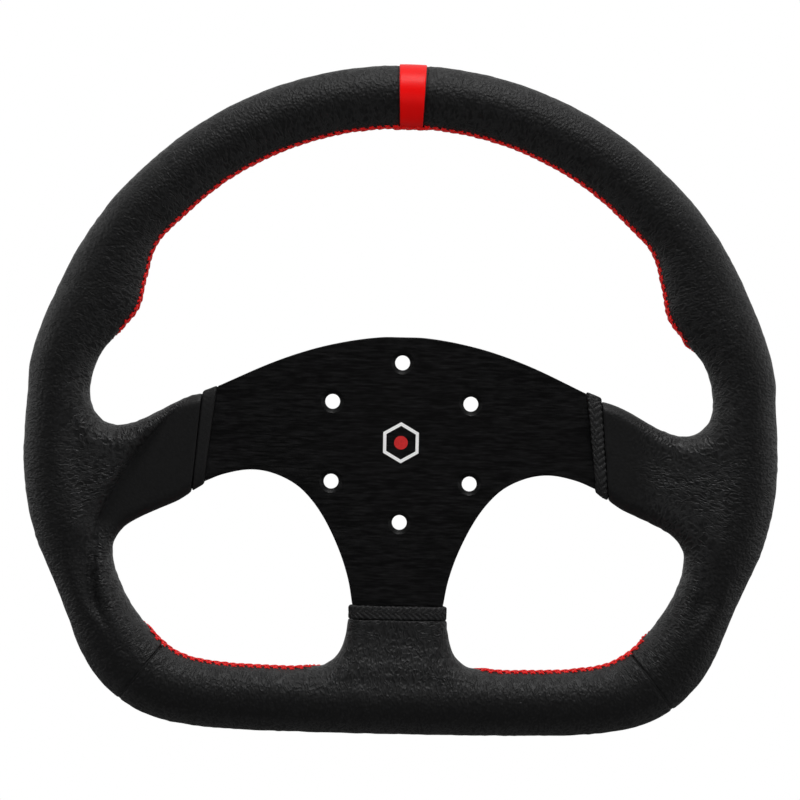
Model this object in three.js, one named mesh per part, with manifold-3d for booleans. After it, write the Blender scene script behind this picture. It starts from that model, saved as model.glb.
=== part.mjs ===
// A flat three-spoke D-shaped steering wheel that bolts to a quick release hub.
// Millimetres. X is the driver's right, Z is up, Y points along the column towards the hub.
// The origin is the middle of the bolt circle, on the back face of the spoke plate.

import * as THREE from 'three';
import { mergeVertices } from 'three/addons/utils/BufferGeometryUtils.js';
import Module from 'manifold-3d';

const wasm = await Module();
wasm.setup();

// ---------------------------------------------------------------- driving dimensions

const gap = 0.3; // clearance between pieces that touch or are cut by each other

const plateThickness = 4;
const plateFront = -plateThickness;
const midPlane = plateFront / 2; // the rim is centred on the plate

const boltCircleRadius = 35;
const boltCount = 6;
const boltHoleRadius = 3.25; // clearance for M6
const countersinkRadius = 5;
const countersinkDepth = countersinkRadius - boltHoleRadius; // 90 degree cone

const rimOuterRadius = 165.4; // round part of the D
const rimInnerRadius = 138.2;
const rimDepth = 30; // front to back
const leather = 1.2; // thickness
const sleeveSquareness = 0.55; // 1 is an oval sleeve, 0 a square one

const ringWidth = 12; // flat bar inside the foam
const ringThickness = 5;
const rivetRadius = 2.5;
const rivetHeadRadius = 4;
const rivetHeadHeight = 1.6;

const markerWidth = 12; // red band, measured round the outer edge
const markerOffset = 2; // its middle lies this far right of the centre line
const markerRise = 0.5; // it stands proud of the black leather
const seamWidth = 0.5;

const cuffDepth = 11; // front to back
const cuffRounding = 0.8;

const stitchPitch = 3.6;
const stitchReach = 2.1; // half the width of the lacing
const stitchLift = 0.35; // underside above the leather
const stitchHeight = 0.8;

const badgeRadius = 9; // across the corners, halved
const badgeLine = 1.6;
const badgeDot = 3;
const badgePrint = 0.2;

const outerSides = 16; // facets round the leather
const innerSides = 10; // facets round the foam
const topStationDegrees = 12; // the stations of the round top are this far apart
const sectionsPerStation = 2;
const holeFacets = 12;

// ---------------------------------------------------------------- outlines, right half, [x, z]

const arcPoint = (radius, degrees) => {
  const angle = THREE.MathUtils.degToRad(degrees);
  return [radius * Math.sin(angle), radius * Math.cos(angle)];
};

const roundTop = (degrees) => [arcPoint(rimOuterRadius, degrees), arcPoint(rimInnerRadius, degrees)];

// Each station is the outer edge and the inner edge of the rim, from the top down to the middle of the
// flat bottom. The round top comes first, then the thumb rest, the side, the corner and the bottom.
const rimStations = [
  ...[0, 1, 2, 3, 4].map((i) => roundTop(i * topStationDegrees)),
  [[136.6, 93.2], [109.6, 83.5]],
  [[146.2, 77], [113.4, 70]],
  [[153.6, 61], [116.6, 56.5]],
  [[159.6, 46], [124.8, 46]],
  [[163.3, 32], [132.6, 36]],
  [[164, 18], [136.6, 23]],
  [[165, 4], [137.3, 7]],
  [[165.2, -12], [136, -9]],
  [[163.2, -29], [132.6, -27]],
  [[158.4, -46.5], [127.2, -45]],
  [[151, -63], [123.8, -59]],
  [[144.4, -79], [117.8, -71.8]],
  [[138.6, -93.5], [109.8, -82]],
  [[130.4, -106], [101.6, -90]],
  [[118, -116.8], [93.5, -94.8]],
  [[103.5, -123], [84, -97.2]],
  [[86, -126], [72, -98.5]],
  [[60, -127.3], [53, -99.2]],
  [[30, -127.7], [28, -99.2]],
  [[0, -127.7], [0, -99.2]],
];

// Sleeve over a side spoke, from inside the cuff into the rim: its two edges, and its depth there.
const sideSleeve = [
  { top: [85.4, 21.4], bottom: [89, -22], depth: 12 },
  { top: [95, 18], bottom: [98, -27.8], depth: 13 },
  { top: [104, 13.2], bottom: [106, -31.4], depth: 14.5 },
  { top: [113, 8.4], bottom: [114, -35.2], depth: 16.5 },
  { top: [120.5, 5.8], bottom: [120.5, -39.4], depth: 19 },
  { top: [127, 5.6], bottom: [124.4, -44.6], depth: 21.5 },
  { top: [133.2, 9.2], bottom: [126, -51], depth: 23.5 },
  { top: [139, 17], bottom: [129.5, -58], depth: 24.5 },
  { top: [148, 20], bottom: [142, -52], depth: 20 },
];

// Sleeve over the bottom spoke: half its width at a height.
const bottomSleeve = [
  { half: 21.2, z: -75, depth: 12 },
  { half: 21.8, z: -82, depth: 13 },
  { half: 23.6, z: -88, depth: 15 },
  { half: 27, z: -94, depth: 18.5 },
  { half: 33, z: -98.2, depth: 22 },
  { half: 42, z: -102, depth: 24 },
  { half: 46, z: -111, depth: 22 },
];

// Spoke plate edges that show between the cuffs.
const plateTopEdge = [[0, 46.2], [24, 44], [40, 40.1], [58, 33.6], [80.6, 23.2]];
const plateLowEdge = [[85.6, -18.8], [77, -15.2], [66, -13.1], [56, -14.4], [46, -19], [38.5, -26],
  [32, -35.5], [26, -48], [22, -60], [19.9, -71.2]];

// The arms inside the sleeves step in from the plate's edges and end on the ring.
const sideArm = [[81, 19.4], [97, 11.6], [112, 3], [124, 0], [155.6, 0], [154, -28], [124, -29],
  [110, -27], [96, -20.6], [85, -14.8]];
const bottomArm = [[16.4, -71.4], [16.4, -118.6]];

// A side cuff lies between two slanted lines. The bottom one is level.
const sideCuff = {
  plateSide: { top: [80.95, 23.4], bottom: [86, -19.9] },
  sleeveSide: { top: [87.2, 20.9], bottom: [91, -23] },
};
const bottomCuff = { half: 21.1, top: -71.7, bottom: -77.4 };

const cornerSeam = { inner: [102.8, -90.6], outer: [121.2, -114.4] };

// Stations where the lacing leaves the inner edge for the back of a spoke, or comes back to it.
const laceAboveSpoke = 8.05;
const laceBelowSpoke = 17.1;
const laceByBottomSpoke = 22.8;
const laceBackAngle = 62; // degrees round the rim, from its inner edge towards its back
const laceTurn = 1.6; // stations over which it moves to the back
const sleeveSeamAngle = 46; // where the seam behind a sleeve ends on the rim
const middleOfSpoke = 12.4; // station

const sideRivetStations = [11.72, 12.62];
const bottomRivetX = 9.5;

// ---------------------------------------------------------------- helpers

const mirrored = ([x, z]) => [-x, z];
const at = ([x, z], y = 0) => new THREE.Vector3(x, y, z);
const between = ([x0, z0], [x1, z1], t) => [x0 + (x1 - x0) * t, z0 + (z1 - z0) * t];

function spline(points, closed = false) {
  return new THREE.CatmullRomCurve3(points.map((p) => at(p)), closed, 'catmullrom', 0.5);
}

function solidFrom(geometry) {
  const bare = geometry.clone();
  bare.deleteAttribute('normal');
  bare.deleteAttribute('uv');
  const merged = mergeVertices(bare, 1e-4);
  const mesh = new wasm.Mesh({
    numProp: 3,
    vertProperties: new Float32Array(merged.attributes.position.array),
    triVerts: new Uint32Array(merged.index.array),
  });
  return new wasm.Manifold(mesh);
}

function geometryFrom(solid) {
  const mesh = solid.getMesh();
  const geometry = new THREE.BufferGeometry();
  geometry.setAttribute('position', new THREE.BufferAttribute(mesh.vertProperties, 3));
  geometry.setIndex(new THREE.BufferAttribute(mesh.triVerts, 1));
  geometry.computeVertexNormals();
  return geometry;
}

// Skins a row of loops with the same number of points: a hoop, or a stick with flat ends.
function skin(loops, hoop = false) {
  const sides = loops[0].length;
  const position = loops.flatMap((loop) => loop.flatMap((p) => [p.x, p.y, p.z]));
  const index = [];
  const rows = hoop ? loops.length : loops.length - 1;
  for (let row = 0; row < rows; row++) {
    const next = (row + 1) % loops.length;
    for (let i = 0; i < sides; i++) {
      const j = (i + 1) % sides;
      const [a, b, c, d] = [row * sides + i, row * sides + j, next * sides + j, next * sides + i];
      index.push(a, b, c, a, c, d);
    }
  }
  if (!hoop) {
    const last = (loops.length - 1) * sides;
    for (let i = 1; i < sides - 1; i++) {
      index.push(0, i + 1, i);
      index.push(last, last + i, last + i + 1);
    }
  }
  const geometry = new THREE.BufferGeometry();
  geometry.setAttribute('position', new THREE.Float32BufferAttribute(position, 3));
  geometry.setIndex(index);
  return solidFrom(geometry);
}

// A flat piece: an outline in X and Z that stands from y = low to y = high.
function slab(outline, low, high) {
  const points = outline.map(([x, z]) => new THREE.Vector2(x, z));
  const options = { depth: high - low, bevelEnabled: false };
  const geometry = new THREE.ExtrudeGeometry(new THREE.Shape(points), options);
  geometry.rotateX(Math.PI / 2);
  geometry.translate(0, high, 0);
  return solidFrom(geometry);
}

// A turned piece about the Y axis, from a profile of [radius, y] in rising y.
function turned(profile, segments) {
  const points = profile.map(([r, y]) => new THREE.Vector2(r, y));
  return solidFrom(new THREE.LatheGeometry(points, segments));
}

const listOf = (count, make) => Array.from({ length: count }, (_, i) => make(i));

const rod = (radius, low, high) => [[0, low], [radius, low], [radius, high], [0, high]];

const polygon = (radius, corners) => listOf(corners, (i) => arcPoint(radius, (360 * i) / corners));

const cutFrom = (solid, cutters) => cutters.reduce((rest, cutter) => rest.subtract(cutter), solid);

// ---------------------------------------------------------------- rim and sleeve bodies

const lastStation = rimStations.length - 1; // the middle of the flat bottom
const leftHalf = rimStations.slice(1, -1).reverse();
const stations = [...rimStations, ...leftHalf.map((edges) => edges.map(mirrored))];
const outerEdge = spline(stations.map(([outer]) => outer), true);
const innerEdge = spline(stations.map(([, inner]) => inner), true);

// The rim at a station: its middle, the way towards its outer edge, and half its width.
function rimAt(station) {
  const t = (station / stations.length + 1) % 1;
  const outer = outerEdge.getPoint(t);
  const inner = innerEdge.getPoint(t);
  const middle = outer.clone().add(inner).multiplyScalar(0.5);
  const half = outer.distanceTo(inner) / 2;
  return { middle, half, outward: outer.sub(inner).normalize() };
}

const rimSections = listOf(stations.length * sectionsPerStation, (k) => rimAt(k / sectionsPerStation));
const ringSections = listOf(stations.length, rimAt);

function rimBody(inset, sides) {
  const loops = rimSections.map(({ middle, half, outward }) => listOf(sides, (i) => {
    const angle = (-2 * Math.PI * i) / sides;
    const p = middle.clone().addScaledVector(outward, (half - inset) * Math.cos(angle));
    p.y = midPlane + (rimDepth / 2 - inset) * Math.sin(angle);
    return p;
  }));
  return skin(loops, true);
}

// A flattened oval between two edges, squarer than an ellipse.
function sleeveLoop(top, bottom, depth, inset, sides) {
  const middle = at(between(top, bottom, 0.5));
  const half = at(top).distanceTo(at(bottom)) / 2 - inset;
  const across = at(top).sub(at(bottom)).normalize();
  const squared = (v) => Math.sign(v) * Math.abs(v) ** sleeveSquareness;
  return listOf(sides, (i) => {
    const angle = (2 * Math.PI * i) / sides;
    const p = middle.clone().addScaledVector(across, half * squared(Math.cos(angle)));
    p.y = midPlane + (depth / 2 - inset) * squared(Math.sin(angle));
    return p;
  });
}

function sideSleeveBody(side, inset, sides) {
  const place = ([x, z]) => [side * x, z];
  const loops = sideSleeve.map(({ top, bottom, depth }) => (
    sleeveLoop(place(top), place(bottom), depth, inset, sides)));
  return skin(side > 0 ? loops.reverse() : loops);
}

function bottomSleeveBody(inset, sides) {
  const loops = bottomSleeve.map(({ half, z, depth }) => (
    sleeveLoop([half, z], [-half, z], depth, inset, sides)));
  return skin(loops.reverse());
}

function wheelBody(inset, sides) {
  return rimBody(inset, sides)
    .add(sideSleeveBody(1, inset, sides))
    .add(sideSleeveBody(-1, inset, sides))
    .add(bottomSleeveBody(inset, sides));
}

// ---------------------------------------------------------------- cutting tools

const overcut = 10; // how far a cutting tool reaches past what it cuts
const rimFront = midPlane - rimDepth / 2 - overcut;
const rimBack = midPlane + rimDepth / 2 + overcut;
const through = (outline) => slab(outline, rimFront, rimBack);

// A strip of a given width along the line between two points, drawn out past both of them.
function strip(from, to, width, overrun) {
  const along = new THREE.Vector2(to[0] - from[0], to[1] - from[1]).normalize();
  const corner = ([x, z], out, across) => [
    x + along.x * out - along.y * across,
    z + along.y * out + along.x * across,
  ];
  const half = width / 2;
  const start = [corner(from, -overrun, half), corner(from, -overrun, -half)];
  return [...start, corner(to, overrun, -half), corner(to, overrun, half)];
}

// Wedge between two directions from the origin, past the rim on both sides.
function topWedge(width) {
  const degrees = (length) => THREE.MathUtils.radToDeg(length / rimOuterRadius);
  const [low, high] = [degrees(markerOffset - width / 2), degrees(markerOffset + width / 2)];
  const [near, far] = [rimInnerRadius - overcut, rimOuterRadius + overcut];
  return through([arcPoint(near, low), arcPoint(near, high), arcPoint(far, high), arcPoint(far, low)]);
}

// The room that a cuff takes, up to the end of its sleeve.
function cuffRoom(side) {
  if (side === 0) {
    const { half, top, bottom } = bottomCuff;
    const [wide, high, low] = [half + overcut, top + overcut, bottom - gap];
    return through([[-wide, low], [wide, low], [wide, high], [-wide, high]]);
  }
  const { top, bottom } = sideCuff.sleeveSide;
  const roomWidth = 20;
  const line = [top, bottom].map(([x, z]) => [side * (x + gap - roomWidth / 2), z]);
  return through(strip(...line, roomWidth, overcut));
}

function cornerSeamCut(side) {
  const line = [cornerSeam.inner, cornerSeam.outer].map(([x, z]) => [side * x, z]);
  return through(strip(...line, seamWidth, overcut));
}

const seamCuts = [-1, 1].map(cornerSeamCut);
const markerCut = topWedge(markerWidth + 2 * seamWidth);
const cuffCuts = [-1, 0, 1].map(cuffRoom);

// ---------------------------------------------------------------- leather

const underLeather = wheelBody(leather, innerSides);
const cover = cutFrom(wheelBody(0, outerSides), [underLeather, markerCut, ...seamCuts, ...cuffCuts]);

// All that lies between the two corner seams, up into the lower openings.
function bottomRegion() {
  const { inner, outer } = cornerSeam;
  const [farIn, farOut] = [between(inner, outer, -0.3), between(inner, outer, 1.3)];
  const [below, intoOpening] = [-150, 60];
  const right = [[intoOpening, -intoOpening], farIn, farOut, [farOut[0], below]];
  return through([...right, ...right.map(mirrored).reverse()]);
}

function sideRegion(side) {
  const far = 200;
  return through([[markerOffset, -far], [side * far, -far], [side * far, far], [markerOffset, far]]);
}

const bottomPanel = () => cover.intersect(bottomRegion());
const upperPanel = (side) => cover.intersect(sideRegion(side)).subtract(bottomRegion());

function markerBand() {
  const band = rimBody(-markerRise, outerSides).subtract(rimBody(leather, innerSides));
  return band.intersect(topWedge(markerWidth));
}

// ---------------------------------------------------------------- spoke plate, ring and rivets

const edgePoints = (points, divisions) => spline(points).getPoints(divisions).map((p) => [p.x, p.z]);

function plateOutline() {
  const right = [...edgePoints(plateTopEdge, 14), ...sideArm, ...edgePoints(plateLowEdge, 24), ...bottomArm];
  return [...right, ...right.slice(1).map(mirrored).reverse()];
}

function rivetPlaces() {
  const side = sideRivetStations.map((s) => [rimAt(s).middle.x, rimAt(s).middle.z]);
  const bottom = rimAt(rimStations.length - 1).middle;
  return [
    ...side.map((place, i) => ({ name: `rivet_right_${i + 1}`, place })),
    ...side.map((place, i) => ({ name: `rivet_left_${i + 1}`, place: mirrored(place) })),
    { name: 'rivet_bottom_1', place: [bottomRivetX, bottom.z] },
    { name: 'rivet_bottom_2', place: [-bottomRivetX, bottom.z] },
  ];
}

const putAt = (solid, [x, z]) => solid.translate([x, 0, z]);

function rivetHoles() {
  const hole = turned(rod(rivetRadius + gap, plateFront - overcut, ringThickness + overcut), holeFacets);
  return rivetPlaces().map(({ place }) => putAt(hole, place));
}

function spokePlate() {
  const bolt = turned([
    [0, plateFront - overcut], [countersinkRadius, plateFront - overcut], [countersinkRadius, plateFront],
    [boltHoleRadius, plateFront + countersinkDepth], [boltHoleRadius, overcut], [0, overcut],
  ], 2 * holeFacets);
  const boltHoles = polygon(boltCircleRadius, boltCount).map((place) => putAt(bolt, place));
  return cutFrom(slab(plateOutline(), plateFront, 0), [...boltHoles, ...rivetHoles()]);
}

// The ring's bar, or the room for it, which is wider and thicker by the clearance.
function ringBody(clearance) {
  const loops = ringSections.map(({ middle, outward }) => {
    const reach = ringWidth / 2 + clearance;
    const [front, back] = [-clearance, ringThickness + clearance];
    const corners = [[reach, front], [-reach, front], [-reach, back], [reach, back]];
    return corners.map(([across, y]) => middle.clone().addScaledVector(outward, across).setY(y));
  });
  return skin(loops, true);
}

const rimRing = () => cutFrom(ringBody(0), rivetHoles());

function rivet() {
  const [front, back] = [plateFront, ringThickness];
  return turned([
    [0, front - rivetHeadHeight], [rivetHeadRadius, front - rivetHeadHeight], [rivetHeadRadius, front],
    [rivetRadius, front], [rivetRadius, back],
    [rivetHeadRadius, back], [rivetHeadRadius, back + rivetHeadHeight], [0, back + rivetHeadHeight],
  ], holeFacets);
}

// ---------------------------------------------------------------- foam

// An outline moved out by a margin on every side.
function grown(outline, margin) {
  const count = outline.length;
  const points = outline.map(([x, z]) => new THREE.Vector2(x, z));
  const turn = Math.sign(THREE.ShapeUtils.area(points));
  const away = (a, b) => new THREE.Vector2(b.y - a.y, a.x - b.x).normalize().multiplyScalar(turn);
  return points.map((p, i) => {
    const before = away(points[(i + count - 1) % count], p);
    const after = away(p, points[(i + 1) % count]);
    const scale = margin / (1 + before.dot(after));
    return [p.x + (before.x + after.x) * scale, p.y + (before.y + after.y) * scale];
  });
}

function armRooms() {
  const bottom = [...bottomArm, ...bottomArm.map(mirrored).reverse()];
  return [sideArm, sideArm.map(mirrored), bottom].map((arm) => slab(grown(arm, gap), plateFront - gap, gap));
}

function foamCore() {
  const reach = rivetHeadHeight + gap;
  const headRoom = turned(rod(rivetHeadRadius + gap, plateFront - reach, ringThickness + reach), holeFacets);
  const headRooms = rivetPlaces().map(({ place }) => putAt(headRoom, place));
  const body = wheelBody(leather + gap, innerSides);
  return cutFrom(body, [ringBody(gap), ...armRooms(), ...headRooms, ...cuffCuts]);
}

// ---------------------------------------------------------------- cuffs

// A band in slices from its plate side to its sleeve side, rounded at both, with a slot for the arm.
function cuffBody(edgesAt) {
  const slices = [[0, cuffRounding], [0.15, 0], [0.85, 0], [1, cuffRounding]];
  return slices.map(([t, inset]) => {
    const [top, bottom] = edgesAt(t);
    return sleeveLoop(top, bottom, cuffDepth, inset, outerSides);
  });
}

function sideCuffBody(side) {
  const { plateSide, sleeveSide } = sideCuff;
  const place = ([x, z]) => [side * x, z];
  const loops = cuffBody((t) => [
    place(between(plateSide.top, sleeveSide.top, t)),
    place(between(plateSide.bottom, sleeveSide.bottom, t)),
  ]);
  return cutFrom(skin(side > 0 ? loops.reverse() : loops), armRooms());
}

function bottomCuffBody() {
  const { half, top, bottom } = bottomCuff;
  const loops = cuffBody((t) => [[half, top + (bottom - top) * t], [-half, top + (bottom - top) * t]]);
  return cutFrom(skin(loops.reverse()), armRooms());
}

// ---------------------------------------------------------------- lacing

// A place on the leather, an angle round the rim from its inner edge: 0 is the inner edge, 90 the back.
function onRim(station, degrees) {
  const low = Math.floor(station * sectionsPerStation) / sectionsPerStation;
  const [a, b] = [rimAt(low), rimAt(low + 1 / sectionsPerStation)];
  const t = (station - low) * sectionsPerStation;
  const middle = a.middle.lerp(b.middle, t);
  const outward = a.outward.lerp(b.outward, t).normalize();
  const half = a.half + (b.half - a.half) * t;
  const angle = THREE.MathUtils.degToRad(degrees);
  const depth = rimDepth / 2;
  const point = middle.addScaledVector(outward, -half * Math.cos(angle));
  point.y = midPlane + depth * Math.sin(angle);
  const normal = outward.multiplyScalar(-Math.cos(angle) / half);
  normal.y = Math.sin(angle) / depth;
  return { point, normal: normal.normalize() };
}

const ramp = (value) => THREE.MathUtils.smoothstep(value, 0, 1);

// Moves a place out along its normal until it lies on the cover, over a sleeve where there is one.
const coverMesh = new THREE.Mesh(geometryFrom(wheelBody(0, outerSides)));

function ontoCover({ point, normal }) {
  const start = point.clone().addScaledVector(normal, rimDepth);
  const [hit] = new THREE.Raycaster(start, normal.clone().negate()).intersectObject(coverMesh);
  return hit ? { point: hit.point, normal: hit.face.normal } : { point, normal };
}

// Evens out the cover's facets: each place faces the mean way of the places near it.
function evened(track, span = 3) {
  return track.map(({ point }, i) => {
    const normal = new THREE.Vector3();
    for (const near of track.slice(Math.max(0, i - span), i + span + 1)) normal.add(near.normal);
    return { point, normal: normal.normalize() };
  });
}

const stepsPerStation = 12;

function rimTrack(from, to, angleAt) {
  const steps = Math.ceil((to - from) * stepsPerStation);
  return evened(listOf(steps + 1, (i) => {
    const station = from + ((to - from) * i) / steps;
    return ontoCover(onRim(station, angleAt(station)));
  }));
}

// Straight along the back of a sleeve, from its cuff to the seam behind the rim.
function sleeveTrack(slices, station) {
  const back = ({ middle, depth }) => ({
    point: at(middle, midPlane + depth / 2),
    normal: new THREE.Vector3(0, 1, 0),
  });
  const [inCuff, next] = slices;
  const start = { middle: between(inCuff.middle, next.middle, 0.75), depth: next.depth };
  const track = [start, ...slices.slice(1)].map(back).concat(onRim(station, sleeveSeamAngle));
  return track.map(ontoCover);
}

// The lacing is widest across the middle of a stitch, where the thread lies slanted.
const wideSlice = { width: stitchReach, slant: stitchPitch * 0.2, height: stitchHeight };
const narrowSlice = { width: stitchReach * 0.45, slant: 0, height: stitchHeight * 0.6 };

// Laces a track: one slanted stitch after another, as a ribbon that is wide, then narrow.
function lacing(track) {
  const reach = [0];
  for (let i = 1; i < track.length; i++) {
    reach.push(reach[i - 1] + track[i].point.distanceTo(track[i - 1].point));
  }
  const total = reach[reach.length - 1];
  const count = Math.max(2, Math.round(total / stitchPitch)) * 2;
  const placeAt = (distance) => {
    let i = 1;
    while (i < track.length - 1 && reach[i] < distance) i++;
    const t = (distance - reach[i - 1]) / (reach[i] - reach[i - 1]);
    const point = track[i - 1].point.clone().lerp(track[i].point, t);
    const normal = track[i - 1].normal.clone().lerp(track[i].normal, t).normalize();
    const along = track[i].point.clone().sub(track[i - 1].point).normalize();
    return { point, normal, along, across: along.clone().cross(normal) };
  };
  const loops = listOf(count + 1, (k) => {
    const { point, normal, along, across } = placeAt((total * k) / count);
    const { width, slant, height } = k % 2 ? wideSlice : narrowSlice;
    const under = point.addScaledVector(normal, stitchLift);
    const edge = across.multiplyScalar(width).addScaledVector(along, slant);
    return [under.clone().sub(edge), under.clone().addScaledVector(normal, height), under.clone().add(edge)];
  });
  return skin(loops);
}

const stationAt = (arcLength) => THREE.MathUtils.radToDeg(arcLength / rimOuterRadius) / topStationDegrees;
const markerStation = stationAt(markerOffset);
const markerHalfStation = stationAt(markerWidth / 2);

function rearAngle(station) {
  const gone = Math.min(station - laceAboveSpoke, laceBelowSpoke - station);
  return laceBackAngle * ramp(gone / laceTurn);
}

function rearBottomAngle(station) {
  const fromMiddle = Math.abs(station - lastStation);
  return laceBackAngle * ramp((lastStation - laceByBottomSpoke - fromMiddle) / (laceTurn / 2));
}

const mirrorTrack = (track) => track.map(({ point, normal }) => ({
  point: new THREE.Vector3(-point.x, point.y, point.z),
  normal: new THREE.Vector3(-normal.x, normal.y, normal.z),
}));

function lacingRuns() {
  const apart = 0.03; // stations left free between one run and the next
  const innerAngle = () => 0;
  const flip = { right: (track) => track, left: mirrorTrack };
  const sideSlices = sideSleeve.slice(0, -1).map(({ top, bottom, depth }) => (
    { middle: between(top, bottom, 0.5), depth }));
  const bottomSlices = bottomSleeve.slice(0, -1).map(({ z, depth }) => ({ middle: [0, z], depth }));
  const runs = {};
  for (const [side, sign] of [['right', 1], ['left', -1]]) {
    const besideMarker = sign * markerStation + markerHalfStation;
    const run = (from, to, angleAt) => flip[side](rimTrack(from + apart, to - apart, angleAt));
    runs[`upper_${side}`] = run(besideMarker, laceAboveSpoke, innerAngle);
    runs[`rear_${side}`] = run(laceAboveSpoke, laceBelowSpoke, rearAngle);
    runs[`lower_${side}`] = run(laceBelowSpoke, laceByBottomSpoke, innerAngle);
    runs[`sleeve_${side}`] = flip[side](sleeveTrack(sideSlices, middleOfSpoke));
  }
  const farSide = 2 * lastStation - laceByBottomSpoke;
  runs.rear_bottom = rimTrack(laceByBottomSpoke + apart, farSide - apart, rearBottomAngle);
  runs.sleeve_bottom = sleeveTrack(bottomSlices, lastStation);
  const overMarker = ({ point, normal }) => ({ point: point.addScaledVector(normal, markerRise), normal });
  const [markerStart, markerEnd] = [markerStation - markerHalfStation, markerStation + markerHalfStation];
  runs.marker = rimTrack(markerStart, markerEnd, innerAngle).map(overMarker);
  return runs;
}

// ---------------------------------------------------------------- badge

// A plain hexagon ring with a dot in it, printed on the front of the plate.
function badgeRingBody() {
  const outer = slab(polygon(badgeRadius, 6), plateFront - badgePrint, plateFront);
  const inner = slab(polygon(badgeRadius - badgeLine, 6), plateFront - overcut, plateFront + overcut);
  return outer.subtract(inner);
}

const badgeDotBody = () => turned(rod(badgeDot, plateFront - badgePrint, plateFront), 2 * holeFacets);

// ---------------------------------------------------------------- materials and assembly

function material(color, roughness, metalness) {
  return new THREE.MeshStandardMaterial({ color, roughness, metalness });
}

const materials = {
  plate: material(0x121214, 0.45, 0.8),
  steel: material(0x6d7075, 0.5, 0.9),
  rivet: material(0xa9abad, 0.4, 0.9),
  foam: material(0x2b2b2d, 0.95, 0),
  leather: material(0x1b1b1d, 0.6, 0),
  cuff: material(0x161618, 0.7, 0),
  marker: material(0xe00b06, 0.5, 0),
  thread: material(0xe20c0c, 0.7, 0),
  print: material(0xe8e8e8, 0.5, 0),
  printRed: material(0xc01015, 0.5, 0),
};

const group = new THREE.Group();
const lacedOver = wheelBody(-stitchLift / 3, outerSides); // nothing of the lacing sinks into the cover

function put(name, solid, surface) {
  const mesh = new THREE.Mesh(geometryFrom(solid), surface);
  mesh.name = name;
  group.add(mesh);
  return mesh;
}

put('spoke_plate', spokePlate(), materials.plate);
put('rim_ring', rimRing(), materials.steel);
for (const { name, place } of rivetPlaces()) {
  put(name, rivet(), materials.rivet).position.set(place[0], 0, place[1]);
}
put('foam_core', foamCore(), materials.foam);
put('leather_upper_right', upperPanel(1), materials.leather);
put('leather_upper_left', upperPanel(-1), materials.leather);
put('leather_bottom', bottomPanel(), materials.leather);
put('centre_marker', markerBand(), materials.marker);
put('cuff_right', sideCuffBody(1), materials.cuff);
put('cuff_left', sideCuffBody(-1), materials.cuff);
put('cuff_bottom', bottomCuffBody(), materials.cuff);
for (const [name, track] of Object.entries(lacingRuns())) {
  put(`stitch_${name}`, lacing(track).subtract(lacedOver), materials.thread);
}
put('badge_ring', badgeRingBody(), materials.print);
put('badge_dot', badgeDotBody(), materials.printRed);

export default group;
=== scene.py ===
# %% [markdown]
# # A flat three-spoke steering wheel in black leather
# The wheel is an alloy plate with six bolt holes, a foam rim on a steel ring, and leather pulled
# over the foam and laced up in red thread. The CAD gives the sizes and the places. Here each part
# gets the surface that you see: creases and grain in the leather, rolled edges at the seams,
# brush lines on the plate, and thread that really crosses over the seam.

# %% Start from the CAD frame
import itertools
import math

import bmesh
import bpy
import numpy as np
import openvdb
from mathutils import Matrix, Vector
from mathutils.bvhtree import BVHTree
from mathutils.geometry import tessellate_polygon


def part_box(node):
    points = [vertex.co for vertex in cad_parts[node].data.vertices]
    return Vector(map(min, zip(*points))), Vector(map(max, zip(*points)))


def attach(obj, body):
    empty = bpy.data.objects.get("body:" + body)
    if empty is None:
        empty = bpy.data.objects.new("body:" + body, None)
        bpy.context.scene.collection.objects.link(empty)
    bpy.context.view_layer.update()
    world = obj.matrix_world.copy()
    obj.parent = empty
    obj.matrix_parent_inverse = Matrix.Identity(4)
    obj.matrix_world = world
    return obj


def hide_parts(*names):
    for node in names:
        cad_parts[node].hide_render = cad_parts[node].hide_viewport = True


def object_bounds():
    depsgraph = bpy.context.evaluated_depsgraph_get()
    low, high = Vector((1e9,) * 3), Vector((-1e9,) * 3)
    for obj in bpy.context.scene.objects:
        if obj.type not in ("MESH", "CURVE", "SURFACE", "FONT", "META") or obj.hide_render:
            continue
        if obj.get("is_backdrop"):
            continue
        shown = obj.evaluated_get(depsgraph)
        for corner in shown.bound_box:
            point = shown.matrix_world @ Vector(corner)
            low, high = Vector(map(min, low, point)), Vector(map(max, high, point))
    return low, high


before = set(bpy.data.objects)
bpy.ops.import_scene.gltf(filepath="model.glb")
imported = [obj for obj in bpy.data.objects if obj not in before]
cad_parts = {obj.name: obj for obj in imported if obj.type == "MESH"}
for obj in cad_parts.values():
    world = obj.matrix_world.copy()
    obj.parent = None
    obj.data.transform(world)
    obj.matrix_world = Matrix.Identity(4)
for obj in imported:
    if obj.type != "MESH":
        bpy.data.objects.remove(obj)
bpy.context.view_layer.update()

# %% [markdown]
# ## Lines to build on
# The wheel's sizes are in millimetres, with X to the driver's right and Z up, as in the CAD.
# A few points with a smooth curve through them describe an edge better than many points do: the
# curve stays fair, and one point can be moved without leaving a dent.

# %% Smooth lines through points
MM = 0.001
LEFT = np.array([-1.0, 1.0])  # turns a point of the right half into one of the left
STEPS = 8  # from one point of a line to the next


def spline(points, closed=False):
    """A smooth line through points."""
    p = np.array(points, float)
    if closed:
        p = np.vstack([p[-1:], p, p[:2]])
    else:
        p = np.vstack([2 * p[0] - p[1], p, 2 * p[-1] - p[-2]])
    t = np.linspace(0, 1, STEPS, endpoint=False)[:, None, None]
    a, b, c, d = p[:-3], p[1:-2], p[2:-1], p[3:]
    curve = b + t * (c - a) / 2 + t**2 * (a - 2.5 * b + 2 * c - d / 2)
    curve = curve + t**3 * (1.5 * (b - c) + (d - a) / 2)
    line = curve.transpose(1, 0, 2).reshape(-1, p.shape[1])
    return line if closed else np.vstack([line, p[-2:-1]])


def smoothstep(low, high, value):
    t = np.clip((value - low) / (high - low), 0, 1)
    return t * t * (3 - 2 * t)


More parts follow.
